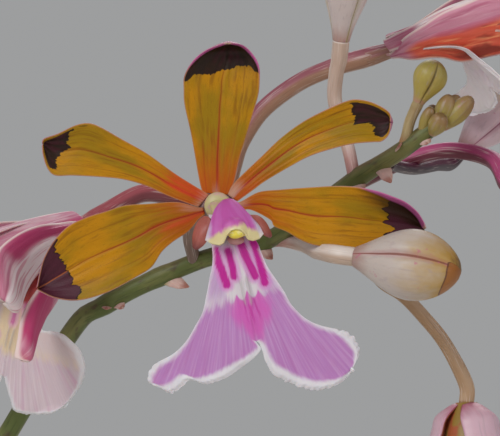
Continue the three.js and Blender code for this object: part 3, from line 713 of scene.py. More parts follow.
# Leaf: thick and leathery with a satin wax, a sunken midrib and parallel veins, paler below
LEAF_SKIN = Finish("leaf_leathery_waxed", "#486329", (
    Stain("#5d7736", 0.75, strands(9, 3, 3), 0.42, 0.7),
    Stain("#35501f", 0.5, strands(0.9, 40, 1), 0.5, 0.7),
    Stain("#7d8f4c", 0.6, "middle", 0.9, 0.25),
    Stain("#8fa05c", 0.5, "edge", 0.5, 0.1),
    Stain("#71843f", 0.6, "back", 0.2, 0.8),
    Stain("#a99a55", 0.8, "along", 0.08, -0.02),
    Stain("#8b6a3a", 0.85, "along", 0.955, 0.995, 0.05, Grain(2, detail=3)),
    Stain("#5c4a26", 0.5, Grain(2.4, detail=3), 0.73, 0.79),
), ((strands(0.75, 60, 1), 0.07), (Grain(0.35), 0.02)), 0.4, (
    ("Coat Weight", 0.12), ("Coat Roughness", 0.35),
))
# Flower stem: firm green stalk, mottled brown and purple by the light
STEM_SKIN = Finish("stem_green_mottled", "#56602b", (
    Stain("#7d7a45", 0.75, strands(2.2, 3, 4), 0.45, 0.68),
    Stain("#4a2f26", 0.7, strands(1.1, 2, 4), 0.56, 0.72),
    Stain("#6d4a3e", 0.5, Upward(), 0.2, 1, 0.8, strands(3, 3, 3)),
    Stain("#343c1b", 0.5, FINE_FIBRE, 0.55, 0.7),
), ((strands(0.4, 10), 0.05),), 0.5, waxy(0.8, 0.08))
# Bract: thin and papery, white and pink with a dead brown tip
BRACT_SKIN = Finish("bract_papery", "#c9a9a0", (
    Stain("#8a8a45", 0.8, "along", 0.3, 0.0),
    Stain("#96523e", 0.75, "along", 0.5, 0.9, 0.3, Grain(0.5, detail=3)),
    Stain("#e0cdbf", 0.4, strands(0.3, 6), 0.5, 0.7),
), ((FIBRE, 0.05),), 0.65, waxy(0.5))
# Ochre tepal: fleshy and waxy, with tiny cells that glisten; maroon tip with a toothed edge, red at the foot
OCHRE_TEPAL = Finish("tepal_fleshy_ochre", "#b67c00", (
    Stain("#856c04", 0.75, strands(3.2, 2.2, 3), 0.4, 0.64),
    Stain("#7a4a04", 0.55, strands(0.3, 12, 3), 0.5, 0.72),
    Stain("#8a6206", 0.4, strands(0.2, 3), 0.56, 0.7),
    Stain("#b04a06", 0.85, "along", 0.42, 0.0, 0.3, strands(0.9, 14)),
    Stain("#9c3008", 0.35, "vein", 0.9, 1.0, 0.2, FINE_FIBRE, within=(Bound("along", 0.6, 0.1),)),
    Stain("#6a3d04", 0.35, "vein", 0.93, 1.0, 0.16, FINE_FIBRE, within=(Bound("along", 0.15, 0.5),)),
    Stain("#a52c10", 0.85, "middle", 0.24, 0.02, 0.24, strands(0.5, 5, 3), within=(Bound("along", 0.85, 0.1),)),
    Stain("#7c2008", 0.6, "middle", 0.07, 0.02, 0.06, FINE_FIBRE, within=(Bound("along", 0.95, 0.5),)),
    Stain("#c93a1c", 0.8, "flush", 0.3, 1, 0.5, strands(0.6, 9)),
    Stain("#cfae9c", 0.7, "bleach", 0.2, 1.2, 0.8, strands(0.5, 7, 3)),
    Stain("#120508", 0.97, "patch", 0.0, 0.14, 0.75, strands(0.26, 5, 3)),
    Stain("#451322", 0.5, "patch", 0.1, 0.9, within=(Bound(strands(0.7, 4, 4), 0.38, 0.66),)),
    Stain("#4d1d2e", 0.75, "patch", 0.15, 0.35, 0.5, strands(0.3, 5, 3), within=(Bound("keel", 0.1, 0.8),)),
    Stain("#9c5228", 0.8, "patch", 0.0, 0.3, within=(Bound("middle", 0.12, 0.03), Bound("keel", 0.85, 1))),
    Stain("#241804", 0.85, "shade", 0.1, 1.0, 0.4, FIBRE),
    Stain("#a0740c", 0.8, "edge", 0.42, 0.2, within=(Bound("rim", 0.3, 0.7),)),
    Stain("#b27c58", 0.65, "edge", 0.13, 0.05, within=(Bound("back", 0.9, 0.1),)),
    Stain("#bb5f98", 0.95, "roll", 0.2, 0.6),
    Stain("#e3cfa2", 0.8, "roll", 0.2, 0.6, within=(Bound("along", 0.965, 0.995),)),
    Stain("#b98293", 0.95, "back", 0.3, 0.7),
    Stain("#a35a7c", 0.7, "back", 0.3, 0.7, within=(Bound(strands(0.6, 14, 3), 0.45, 0.65),)),
), ((strands(0.5, 18), 0.05), (Grain(0.14, detail=1), 0.03)), 0.48, waxy(0.5, 0.08, 0.2))
# Ageing tepal: thin and limp, pale pink with magenta along its folds
AGEING_TEPAL = Finish("tepal_wilting_pink", "#c68498", (
    Stain("#b25a78", 0.85, strands(1.0, 9, 3), 0.4, 0.6),
    Stain("#dcc4c8", 0.45, strands(0.5, 12, 3), 0.5, 0.7),
    Stain("#e8dcdc", 0.9, "bleach", 0.2, 0.9, 0.6, strands(0.4, 8)),
    Stain("#c2607c", 0.6, "bleach", 0.2, 0.9, within=(Bound(strands(0.34, 18), 0.52, 0.64),)),
    Stain("#b02a62", 0.92, "flush", 0.1, 0.8, 0.5, strands(0.6, 9, 3)),
    Stain("#d4532c", 0.9, "glow", 0.15, 0.9, 0.6, strands(0.8, 7, 3)),
    Stain("#f0a070", 0.7, "glow", 0.15, 0.9, within=(Bound(strands(0.5, 8, 3), 0.5, 0.7),)),
    Stain("#6e2016", 0.75, "glow", 0.15, 0.9, within=(Bound(strands(1.3, 4, 3), 0.52, 0.64),)),
    Stain("#ead9d2", 0.75, "edge", 0.35, 0.1),
), ((strands(0.6, 14, 3), 0.12), (PORES, 0.015)), 0.5, waxy(0.6))


@dataclass(frozen=True)
class LipFlesh:
    """Flesh of a lip: soft, lavender pink and white, veined like a fan, with magenta lines on its neck."""

    name: str
    lobe: str
    vein: str
    deep: str
    neck: str
    throat: str
    bar: float = 0.97
    flank: str = "#b58abb"

    def finish(self) -> Finish:
        """Returns the finish in this lip's own colours."""
        fan = strands(0.34, 26)
        return Finish(self.name, self.lobe, (
            Stain(self.vein, 0.42, fan, 0.38, 0.8),
            Stain(self.deep, 0.55, strands(1.4, 9, 3), 0.48, 0.7),
            Stain(self.neck, 0.96, "neck", -0.6, 0.9, 1.3, strands(0.45, 5)),
            Stain(self.flank, 0.8, "flank", 0.0, 1.0, 0.6, strands(0.5, 9)),
            Stain("#cd5cb2", 0.9, "wedge", -1.1, 0.6, 1.0, strands(0.6, 4, 3)),
            Stain("#c01c94", 0.6, "wedge", 0.4, 1.3, within=(Bound(strands(0.6, 5, 3), 0.46, 0.64),)),
            Stain("#aaa3a2", 0.5, "callus", 0.3, 0.9),
            Stain("#cf86c4", 0.8 * self.bar, "stripe", 0.72, 0.1, 0.3, FIBRE),
            Stain("#b80a8a", self.bar, "stripe", 0.16, -0.16, 0.5, strands(0.5, 4, 3)),
            Stain("#dbd9dc", 0.93, "margin", 0.45, -0.3, 0.5, strands(0.5, 3)),
            # The throat at the top of the lip and on its claw: pale on the fresh lip; on the ageing lip dark
            # orange-red, partly the colour of the parts inside and partly painted shade
            Stain(self.throat, 0.9, "throat", 0.2, 0.9, 0.6, strands(0.5, 9)),
            Stain("#f0ecee", 0.93, "back", 0.3, 0.7),
        ), ((fan, 0.05), (PORES, 0.012)), 0.46, waxy(0.6, 0.16, 0.32))


# Lips: soft flesh, lavender with clear veins while fresh, pale and limp with age; the ageing lip's dark orange-red
# throat is partly the colour of the parts inside and partly painted shade
FRESH_LIP = LipFlesh("lip_flesh_fresh", "#b57cb6", "#d3b0d4", "#b06aa8", "#d6cfd2", "#cfc0c8").finish()
AGEING_LIP = LipFlesh(
    "lip_flesh_ageing", "#cab6bd", "#e6dade", "#c493ae", "#dcc6a4", "#a3351c", 0.6, "#cdbcc3",
).finish()
# Column hood: smooth flesh, pink-lilac above, cream at its lower margin
COLUMN_FLESH = Finish("column_flesh", "#b9529f", (
    Stain("#c26cb4", 0.5, strands(0.7, 7), 0.45, 0.65),
    Stain("#c4aecb", 0.85, "corner", 0.3, 1.0, 0.3, Grain(0.5)),
    Stain("#d3c68e", 0.95, "cream", -0.25, 0.3, 0.3, Grain(0.4)),
    Stain("#e2d9a6", 0.85, "arch", 0.2, 0.9, within=(Bound("cream", -0.25, 0.2),)),
    Stain("#cfc6d0", 0.7, "corner", 0.8, 1.0, 0.2, Grain(0.5)),
), ((PORES, 0.012),), 0.42, waxy(0.6, 0.16, 0.32))
# Column foot: smooth cream flesh with a pink blush
COLUMN_FOOT_FLESH = Finish("column_foot_flesh", "#bdb382", (
    Stain("#c793a0", 0.7, Grain(1.2, detail=3), 0.45, 0.7),
), ((PORES, 0.01),), 0.42, waxy(0.6, 0.2))
# Anther cap: smooth, yellow with a whitish middle
ANTHER_CAP = Finish("anther_cap", "#e6d454", (
    Stain("#e6dcae", 0.6, Grain(0.7), 0.45, 0.6),
    Stain("#e9d23c", 0.7, "low", 0.2, 0.8, 0.3, Grain(0.4)),
), ((PORES, 0.01),), 0.45, waxy(0.5, 0.2))
# Rostellum: smooth pinkish-brown flesh below the anther, with a painted highlight that makes it paler where it faces
# up
ROSTELLUM_FLESH = Finish("rostellum_flesh", "#b3807c", (
    # Painted highlight: paler where the surface faces up
    Stain("#c9a5a0", 0.6, Upward(), 0.0, 0.9),
), ((PORES, 0.01),), 0.4, waxy(0.5, 0.2))
# Side lobe of the lip: firm, reddish brown with fine veins
EAR_FLESH = Finish("side_lobe_flesh", "#a65a50", (
    Stain("#bf7a72", 0.6, strands(0.6, 5, 3), 0.45, 0.7),
    Stain("#5c1f2a", 0.7, "along", 0.55, 1.0),
), ((PORES, 0.012),), 0.45, waxy(0.5))


@dataclass(frozen=True)
class StalkSkin:
    """Skin of a flower stalk: smooth and striped finely along its length, its upper side partly its own sun-deepened
    colour and partly painted light, its underside partly painted shade.
    """

    name: str
    above: str
    below: str
    foot: str

    def finish(self) -> Finish:
        """Returns the finish in this stalk's own colours."""
        return Finish(self.name, self.below, (
            # Upper side: partly the stalk's sunny-side colour and partly painted light; the base colour under it is
            # partly painted shade
            Stain(self.above, 0.95, Upward(), -0.35, 0.5, 0.5, strands(0.7, 8, 3)),
            Stain(self.foot, 0.8, "along", 0.35, 0.02, 0.2, strands(0.8, 3)),
            Stain("#efe3da", 0.3, strands(0.16, 30), 0.56, 0.7),
            Stain("#5d3a34", 0.35, strands(0.2, 26), 0.62, 0.78),
        ), ((strands(0.2, 24), 0.03),), 0.45, waxy(0.7, 0.14))


@dataclass(frozen=True)
class BudSkin:
    """Skin of a bud: the waxy backs of its sepals, veined, with coloured seams and tip."""

    name: str
    body: str
    tip: str
    foot: str
    seam: str
    line: str

    def finish(self) -> Finish:
        """Returns the finish in this bud's own colours."""
        return Finish(self.name, self.body, (
            Stain(self.tip, 0.9, "along", 0.4, 0.95, 0.7, strands(2.6, 1.6, 3)),
            Stain(self.foot, 0.85, "along", 0.22, 0.0, 0.12, strands(0.8, 3)),
            Stain("#a08f92", 0.3, strands(0.4, 18), 0.54, 0.72),
            Stain(self.seam, 0.3, "seam", 0.8, 0.1, 0.7, strands(0.5, 3, 3)),
            Stain(self.line, 0.8, "seam", 0.22, 0.08, 0.08, FIBRE),
            Stain("#6d5326", 0.85, "along", 0.9, 1.0, 0.12, Grain(0.5, detail=3)),
            Stain("#b8507c", 0.5, Grain(1.0), 0.68, 0.76),
            Stain("#56221a", 0.85, "cap", 0.02, 0.1, 0.06, FIBRE),
            Stain("#a0662a", 0.85, "cap", 0.16, 0.3, 0.1, Grain(0.5)),
            Stain("#a8592a", 0.85, "back", 0.3, 0.7),
            Stain("#8f7d36", 0.8, "core", 0.3, 0.7, within=(Bound(Grain(1.6), 0.4, 0.55),)),
        ), ((strands(0.4, 20), 0.035), (PORES, 0.015)), 0.42, waxy(0.9, 0.16))


# Stalks: firm smooth tissue, coloured more deeply on the side that faces the light, with painted light on the upper
# side and painted shade on the underside
PINK_STALK = StalkSkin("stalk_skin_dusky_pink", "#8d4a58", "#a07a62", "#7d7a45")
PURPLE_STALK = StalkSkin("stalk_skin_purple", "#7d4a66", "#80685c", "#6f5a50")
ROSE_STALK = StalkSkin("stalk_skin_rose", "#9a4a52", "#7a4046", "#6d6438")
MAGENTA_STALK = StalkSkin("stalk_skin_magenta", "#ab4272", "#6d2f3f", "#6d6038")
MAROON_STALK = StalkSkin("stalk_skin_maroon", "#55203a", "#351c28", "#3d2830")
CREAM_STALK = StalkSkin("stalk_skin_cream", "#d2c5bc", "#bda492", "#a05f5c")
TAN_STALK = StalkSkin("stalk_skin_tan", "#b89a7c", "#a5825f", "#8a6f4a")
GREEN_STALK = StalkSkin("stalk_skin_green", "#ab9a6c", "#97805a", "#b0643a")

# Studio floor: matt painted board
FLOOR_PAINT = Finish("floor_matt_paint", "#e4e2de", (
    Stain("#dcdad6", 0.5, lumps(60, 3), 0.4, 0.7),
), (), 0.85)


# The pot, its medium and what grows along it


@dataclass
class Pot:
    """A moulded clay pot with a thick band at its mouth and three drain holes."""

    height: float = 96
    base_radius: float = 38
    shoulder_radius: float = 51.5
    band_radius: float = 56
    band_height: float = 20
    wall: float = 5
    floor: float = 8
    edge: float = 1.5
    sides: int = 144
    drain_radius: float = 5
    drain_circle: float = 19
    drain_holes: int = 3

    def inner_radius(self, z: float) -> float:
        """Returns the radius inside the wall at a height."""
        share = (z - self.floor) / (self.height - self.floor)
        return self.base_radius - self.wall + share * (self.shoulder_radius - self.base_radius)

    def profile(self) -> list[Pair]:
        """Gives the turned outline.

        Returns:
            Radius and height, from the axis under the floor and back to it above the floor.
        """
        band_foot = self.height - self.band_height
        wall_at_band = self.base_radius + band_foot / self.height * (self.shoulder_radius - self.base_radius)
        mouth = self.inner_radius(self.height)
        return [
            (0, 0), (self.base_radius - self.edge, 0), (self.base_radius, self.edge),
            (wall_at_band - 0.4, band_foot - 1), (wall_at_band + 0.3, band_foot - 0.1),
            (self.band_radius - 2 * self.edge, band_foot + self.edge / 2),
            (self.band_radius - self.edge / 2, band_foot + 2 * self.edge),
            (self.band_radius, self.height - 2 * self.edge), (self.band_radius - self.edge, self.height),
            (mouth + self.edge, self.height), (mouth, self.height - self.edge),
            (self.inner_radius(self.floor + 4), self.floor + 4), (self.inner_radius(self.floor) - 3, self.floor),
            (0, self.floor),
        ]

    def build(self) -> None:
        """Turns the pot, drills it and softens its edges."""
        pot = turned("clay_pot", self.sides, self.profile())
        for hole in range(self.drain_holes):
            spot = ring(self.drain_circle * MM, TURN * (hole + 0.25) / self.drain_holes, 0)
            width, depth = self.drain_radius * MM, 3 * self.floor * MM
            bpy.ops.mesh.primitive_cylinder_add(vertices=40, radius=width, depth=depth, location=tuple(spot))
            drill = bpy.context.object
            apply(pot, "BOOLEAN", operation="DIFFERENCE", object=drill, solver="EXACT")
            bpy.data.objects.remove(drill)
        apply(pot, "BEVEL", width=0.9 * MM, segments=3, limit_method="ANGLE", angle_limit=math.radians(24))
        settle(pot, TERRACOTTA, "pot", 40)


@dataclass
class Medium:
    """Chips of pine bark, coarse below and fine above, on a dark fill."""

    level: float = 79.5
    radius: float = 43.2
    coarse: int = 52
    coarse_size: Point = (16, 11, 7.5)
    small: int = 90
    small_size: Point = (8.5, 5.5, 3.8)
    golden_angle: float = 2.39996
    dip: float = 2.6

    def chip(self, size: Point, draw: np.random.Generator) -> Piece:
        """Makes one chip from a cube: cut up, rounded and broken.

        Args:
            size: Its length, width and height in mm.
            draw: The source of its unevenness.

        Returns:
            The chip, at the origin.
        """
        pick()
        bpy.ops.mesh.primitive_cube_add(size=1)
        chip = bpy.context.object
        bpy.ops.object.mode_set(mode="EDIT")
        bpy.ops.mesh.subdivide(number_cuts=4)
        bpy.ops.object.mode_set(mode="OBJECT")
        shift = Vector(draw.uniform(-50, 50, 3))
        lean = draw.uniform(-0.25, 0.25, 2)
        swell, rounding, lumpy, layered = 1.12, 0.5, 0.22, 0.1
        for vertex in chip.data.vertices:
            place = vertex.co * (swell - rounding * vertex.co.length_squared)
            place.x += lean[0] * place.z
            place.y += lean[1] * place.z
            lump = noise.noise(vertex.co * 2.2 + shift)
            layer = noise.noise(vertex.co * Vector((1.2, 1.2, 9)) + shift)
            vertex.co = place * (1 + lumpy * lump + layered * layer) * Vector(size) * MM
        return chip

    def spread(self, count: int, size: Point, height: float, draw: np.random.Generator) -> list[Piece]:
        """Spreads chips evenly over the pot, lower where the rhizome and the pseudobulbs are.

        Args:
            count: How many chips.
            size: The size of one in mm.
            height: The height of their middles above the level.
            draw: The source of their unevenness.

        Returns:
            The chips.
        """
        chips = []
        for i in range(count):
            grown = np.asarray(size) * draw.uniform(0.7, 1.2, 3)
            reach = (self.radius - 0.5 * grown[0]) * math.sqrt((i + 0.5) / count)
            angle = i * self.golden_angle + draw.uniform(-0.2, 0.2)
            x, y = reach * math.cos(angle), reach * math.sin(angle)
            chip = self.chip(grown, draw)
            near = min(math.hypot(x - shoot.at[0], y - shoot.at[1]) for shoot in SHOOTS)
            low = self.dip * max(0.0, 1 - max(0.0, near - 6) / 9)
            chip.rotation_euler = (*draw.uniform(-0.35, 0.35, 2), draw.uniform(0, TURN))
            chip.location = (x * MM, y * MM, (self.level + height + draw.uniform(-0.8, 0.8) - low) * MM)
            chips.append(chip)
        return chips

    def build(self) -> None:
        """Fills the pot."""
        draw = np.random.default_rng(11)
        chips = self.spread(self.coarse, self.coarse_size, -1.2, draw)
        chips += self.spread(self.small, self.small_size, 2.2, draw)
        heap = joined("bark_chips", chips)
        bpy.ops.object.transform_apply(location=True, rotation=True, scale=True)
        settle(heap, PINE_BARK, "potting_medium", 50)
        pot, foot, top, gap = Pot(), Pot.floor + 0.3, 78, 0.4
        fill = turned("bark_fill", 72, [
            (0, foot), (pot.inner_radius(foot) - 8 * gap, foot), (pot.inner_radius(foot + 4) - gap, foot + 4),
            (pot.inner_radius(top) - gap, top), (0, top),
        ])
        settle(fill, PINE_BARK, "potting_medium", 40)


@dataclass
class Leaf:
    """A strap leaf: it rises from the pseudobulb and falls outward, with a sunken midrib."""

    azimuth: float
    length: float
    width: float
    rise: float
    fall: float
    reach: float = 4.9
    channel: float = 0.34
    thickness: float = 1.5

    def half_width(self, s: Array) -> Array:
        """Returns half the width at shares s of the length: narrow at the foot, blunt at the tip."""
        foot = 0.3 + 0.7 * smooth(0, 0.34, s)
        tip = np.sqrt(np.maximum(0, 1 - (np.maximum(0, s - 0.74) / 0.262) ** 2))
        return self.width / 2 * foot * tip

    def build(self, node_name: str, base: float, place: Array, seed: int) -> None:
        """Lays the blade out and gives it its thickness.

        Args:
            node_name: The CAD node it stands for.
            base: The height of the pseudobulb in its own frame.
            place: The frame of the shoot.
            seed: Which unevenness it has.
        """
        start, end = math.radians(self.rise), math.radians(self.fall)
        c, s_ = cos_sin(self.azimuth)
        spin = np.array([[c, -s_, 0, 0], [s_, c, 0, 0], [0, 0, 1, base], [0, 0, 0, 1]])
        sunk_foot = 4.0
        lead = sunk_foot / self.length
        bend = self.length / (end - start)

        def layout(u: Array, v: Array) -> Laid:
            """Lays the blade along its arc."""
            across = 1 - 2 * u
            s = v * (0.9965 + lead) - lead
            slope = between((start, end), np.maximum(s, 0))
            sunk = np.minimum(s, 0) * self.length
            x = bend * (np.sin(slope) - math.sin(start)) + sunk * math.cos(start)
            z = bend * (math.cos(start) - np.cos(slope)) + sunk * math.sin(start)
            half = self.half_width(np.maximum(s, 0)) * (1 - 0.25 * smooth(0, -lead, s))
            trough = self.channel * half * np.abs(across) ** 1.5 * (1 - 0.45 * s)
            midrib = 0.45 * bump(across * half, 0.7) * smooth(0.98, 0.8, s)
            twist = 0.35 * uneven(seed, s * self.length, 17) * across**2 * np.sign(across) * smooth(1, 0.9, s)
            waves = 0.12 * uneven(seed + 1, s * self.length, 6) * across**4
            lift = 0.5 + trough - midrib + twist + waves
            drift = 0.9 * uneven(seed + 2, s * self.length, 45) * smooth(0, 0.2, s) * smooth(1, 0.75, s)
            x, z = x - np.sin(slope) * lift, z + np.cos(slope) * lift
            flat = spots(x + self.reach, across * half + drift, z + 0.3)
            return moved(place @ spin, flat), {
                "along": s, "middle": np.abs(across) * half,
                "edge": np.minimum(half * (1 - np.abs(across)), (1 - s) * self.length),
                "full": smooth(0, 0.55, 1 - np.abs(across)) * 0.45 + 0.55 * bump(across * half, 1.1),
                "flow": spots(across * self.width / 2, seed * 7.0, s * self.length),
            }

        leaf = thicken(lay_grid(f"{node_name}_blade", 24, 90, layout), self.thickness, 0.3)
        settle(leaf, LEAF_SKIN, node_name)


@dataclass
class Shoot:
    """A pseudobulb in its papery sheaths, with the leaves at its top."""

    number: int
    at: Pair
    height: float
    radius: float
    tilt: float
    age: float
    leaves: list[Leaf] = field(default_factory=list)
    foot: float = 88.5

    def frame(self) -> Array:
        """Returns the frame of the shoot: its foot on the rhizome's stub, leaning by its tilt."""
        c, s = cos_sin(self.tilt)
        return np.array([[c, 0, s, self.at[0]], [0, 1, 0, self.at[1]], [-s, 0, c, self.foot], [0, 0, 0, 1]])

    def girth(self, t: Array, angle: Array) -> Array:
        """Gives the ribbed and wrinkled girth of the pseudobulb.

        Args:
            t: Shares of its height.
            angle: Angles round it.

        Returns:
            The radius.
        """
        top = 5.0 if self.leaves else 2.5
        body = bellied(4.2, top, self.radius, 0.42)(t)
        inner = smooth(0, 0.2, t) * smooth(1, 0.8, t)
        ribs = 0.035 * np.cos(5 * angle) + 0.022 * self.age * np.sin(11 * angle + 5 * t + self.number)
        rings = sum(bump(t - joint, 0.009) for joint in (0.27, 0.5, 0.74))
        return body * (1 + ribs * inner) + 0.16 * rings

    def build(self) -> None:
        """Makes the pseudobulb, its sheath and its leaves."""
        place = self.frame()
        axis = Route([moved(place, (0, 0, self.height * t)) for t in (0, 0.5, 1)])
        bulb = rod(f"pseudobulb_{self.number}_skin", axis, self.girth, 56, 60, 3)
        mark(bulb, "age", self.age)
        settle(bulb, BULB_SKIN, f"pseudobulb_{self.number}")
        self.build_sheath(place)
        for i, leaf in enumerate(self.leaves, 1):
            leaf.build(f"leaf_{self.number}_{i}", self.height, place, 10 * self.number + i)

    def build_sheath(self, place: Array) -> None:
        """Wraps the dead sheath round the lower part, torn at its upper edge and split on one side.

        Args:
            place: The frame of the shoot.
        """
        reach, gap = 0.5 - 0.32 * self.age, 0.35 + 0.5 * self.age

        def layout(u: Array, v: Array) -> Laid:
            """Wraps the grid round the pseudobulb."""
            angle = self.number * 1.9 + gap / 2 + u * (TURN - gap)
            torn = 0.13 * uneven(self.number, angle, 0.5) + 0.07 * uneven(self.number + 9, angle, 0.13)
            peak = 0.1 * np.cos(angle - self.number)
            t = 0.01 + v * (reach + torn + peak)
            loose = 0.25 + 0.9 * v**3 + 0.25 * uneven(self.number + 3, angle * 3 + 4 * v, 0.8) * v
            flow = ring(self.girth(t, angle) + loose, angle, t * self.height)
            return moved(place, flow), {"along": v, "flow": flow, "full": 1}

        sheath = lay_grid(f"sheath_{self.number}_papery", 112, 20, layout)
        settle(thicken(sheath, 0.22, 0.5), PAPERY_SHEATH, f"pseudobulb_{self.number}")


SHOOTS = [
    Shoot(1, (-33, -8), 50, 8.3, 3, 1.0),
    Shoot(2, (-18.5, 5), 58, 8.6, -2, 0.75, [Leaf(118, 122, 18, 78, 4), Leaf(202, 132, 19, 76, -14)]),
    Shoot(3, (-4.5, -8), 62, 8.8, 2, 0.5, [Leaf(100, 138, 19, 84, 30), Leaf(248, 128, 19, 77, -6)]),
    Shoot(4, (9, 6), 66, 8.8, 0, 0.25, [Leaf(84, 142, 20, 80, 2), Leaf(276, 140, 20, 79, -2)]),
    Shoot(5, (24.5, -6), 56, 8, -3, 0.05, [
        Leaf(48, 136, 19, 78, 6), Leaf(306, 130, 19, 80, 0), Leaf(0, 84, 13, 89, 62, 0),
    ]),
]


@dataclass
class Rhizome:
    """The creeping rhizome with a stub under each pseudobulb, and the roots that run over the bark."""

    radius: float = 3.4
    level: float = 83
    stub_radius: float = 4.8
    stub_top: float = 88.6
    root_girth: Pair = (1.7, 1.1)
    roots: tuple[Line, ...] = (
        ((-28, -3, 83), (-33, 8, 84), (-31, 20, 82.5), (-24, 30, 77)),
        ((-13, 0, 83), (-11, 14, 84.5), (-3, 26, 82.5), (6, 32, 77)),
        ((-13, -2, 83), (-20, -16, 84), (-18, -28, 82.5), (-11, -35, 77)),
        ((3, -1, 83), (8, -16, 84.5), (16, -27, 82.5), (15, -36, 77)),
        ((17, 0, 83), (22, 13, 84.5), (31, 20, 82.5), (34, 24, 77.5)),
    )

    def build(self) -> None:
        """Makes the rhizome and the roots."""
        feet = [(*shoot.at, self.level) for shoot in SHOOTS]
        creep = Route([np.add(feet[0], (-5, -2, -1)), *feet, np.add(feet[-1], (7, 1, 1))])

        def creeping(t: Array, angle: Array) -> Array:
            """Returns the ringed girth of the rhizome."""
            rings = bump((t * 14) % 1 - 0.5, 0.09)
            return self.radius * (1 - 0.09 + 0.09 * rings + 0.02 * np.sin(7 * angle))

        def standing(t: Array, angle: Array) -> Array:
            """Returns the girth of a stub."""
            swell = smooth(0, 1, t) + 0.12 * bump((t * 3) % 1 - 0.5, 0.14)
            return between((self.radius, self.stub_radius), swell * (1 - 0.04 * np.cos(5 * angle)))

        parts = [rod("rhizome_creep", creep, creeping, 36, 150, 5, UP)]
        for foot in feet:
            upright = Route([foot, (*foot[:2], self.stub_top)])
            parts.append(rod("stub", upright, standing, 36, 20))
        settle(joined("rhizome", parts), RHIZOME_SKIN, "rhizome_and_roots")
        roots = []
        for i, points in enumerate(self.roots):
            def tapering(t: Array, angle: Array, seed: int = i) -> Array:
                """Returns the girth of a root."""
                return between(self.root_girth, t) * (1 + 0.06 * uneven(seed, t * 40, 2.5) + 0.02 * np.sin(9 * angle))

            roots.append(rod("root", Route(points), tapering, 24, 90, 4, UP))
        settle(joined("aerial_roots", roots), VELAMEN, "rhizome_and_roots")


# The flower stem, its stalks, bracts and buds


def from_seam(angle: Array) -> Array:
    """Returns how far an angle is from the nearest of three seams, in radians."""
    return np.abs(angle % THIRD - THIRD / 2)


@dataclass
class Bud:
    """A bud: three sepals that meet in sunken seams, or part a little where it is opening."""

    name: str
    foot: Point
    tip: Point
    width: float
    fullest: float
    foot_radius: float
    skin: BudSkin
    roll: float = 0
    parted: float = 0
    tip_radius: float = 0.3
    slot: str = "bud"
    capped: bool = False
    sides: int = 84
    spread: float = 0.33 * math.pi

    def build(self) -> None:
        """Makes the bud."""
        belly = bellied(self.foot_radius, self.tip_radius, self.width / 2, self.fullest)
        if self.parted:
            self.build_opening(belly)
            return
        axis = Route([self.foot, self.tip])
        turn = math.radians(round(self.roll * self.sides / 360) * 360 / self.sides)

        def seamed(t: Array, angle: Array) -> Array:
            """Returns the radius, lower along the seams and raised along the keels."""
            away = from_seam(angle + turn)
            seam = 0.085 * bump(away, 0.13) + 0.05 * bump(away, 0.4)
            keel = 0.03 * bump(away - THIRD / 2, 0.2) * smooth(0.3, 0.9, t)
            veins = 0.006 * np.cos(33 * angle)
            lapped = 0.07 * (((angle + turn + THIRD / 2) % THIRD) / THIRD - 0.5)
            inner = smooth(0.06, 0.3, t) * smooth(1.02, 0.9, t)
            return belly(t) * (1 - (seam - keel + veins - lapped) * inner)

        bud = rod(f"{self.name}_bud_sepals", axis, seamed, self.sides, 60, 2)
        wide, out, _ = measured(bud, "flow", 3)
        angle = np.arctan2(wide, out)
        mark(bud, "seam", from_seam(angle % TURN + turn) * self.width / 2)
        if self.capped:
            cap = (measured(bud, "along")[0] - 0.895 + 0.07 * smooth(0.2, 1.5, angle)) * axis.length
            mark(bud, "cap", cap - 3 * smooth(1.2, 1.5, np.abs(angle - 0.8)))
        settle(bud, self.skin.finish(), f"{self.name}_bud")

    def build_opening(self, belly: Callable[[Array], Array]) -> None:
        """Makes the opening bud: petals rolled in the middle, and three sepals that part from the foot.

        Args:
            belly: The radius of the closed bud along its length.
        """
        foot, reach = np.asarray(self.foot, float), np.subtract(self.tip, self.foot)
        along = unit(reach)
        side = unit(np.cross(along, [0, 1, 0]))
        place = np.eye(4)
        place[:3] = spots(side, np.cross(along, side), along, foot)

        def rolled(t: Array, angle: Array) -> Array:
            """Returns the girth of the rolled petals."""
            return belly(0.05 + 0.94 * t) * 0.93 * (1 + 0.08 * np.sin(2 * angle + 4 * t))

        core = rod("core", Route([foot, foot + 0.82 * reach]), rolled, 48, 40)
        mark(core, "core", 1)
        mark(core, "back", 1)
        petals, lean = [core], cos_sin(self.parted)
        for azimuth in (58, 190, 304):
            turn = cos_sin(azimuth)

            def layout(u: Array, v: Array) -> Laid:
                """Lays one sepal out as a shell."""
                t = 0.02 + 0.975 * v
                closing = np.sqrt(np.clip((1 - v) / 0.3, 0, 1))
                radius = belly(t) + 0.3 + 0.75 * bump(t - 0.17, 0.1) - 0.45 * smooth(0.06, 0, t)
                angle = (2 * u - 1) * self.spread * (1 - 0.3 * t) * (0.15 + 0.85 * closing)
                x, y, z = ring(radius, angle, t * np.linalg.norm(reach)).T
                x, z = x * lean[0] + z * lean[1], z * lean[0] - x * lean[1]
                edge = radius * (self.spread - np.abs(angle))
                return moved(place, spots(x * turn[0] - y * turn[1], x * turn[1] + y * turn[0], z)), {
                    "along": t, "edge": edge, "seam": edge, "flow": spots(radius * angle, 0, z),
                    "full": smooth(0, 0.4, edge),
                }

            petals.append(thicken(lay_grid("sepal", 32, 48, layout), 0.5, 0.3))
        settle(joined(f"{self.name}_bud_sepals", petals), self.skin.finish(), f"{self.name}_bud")


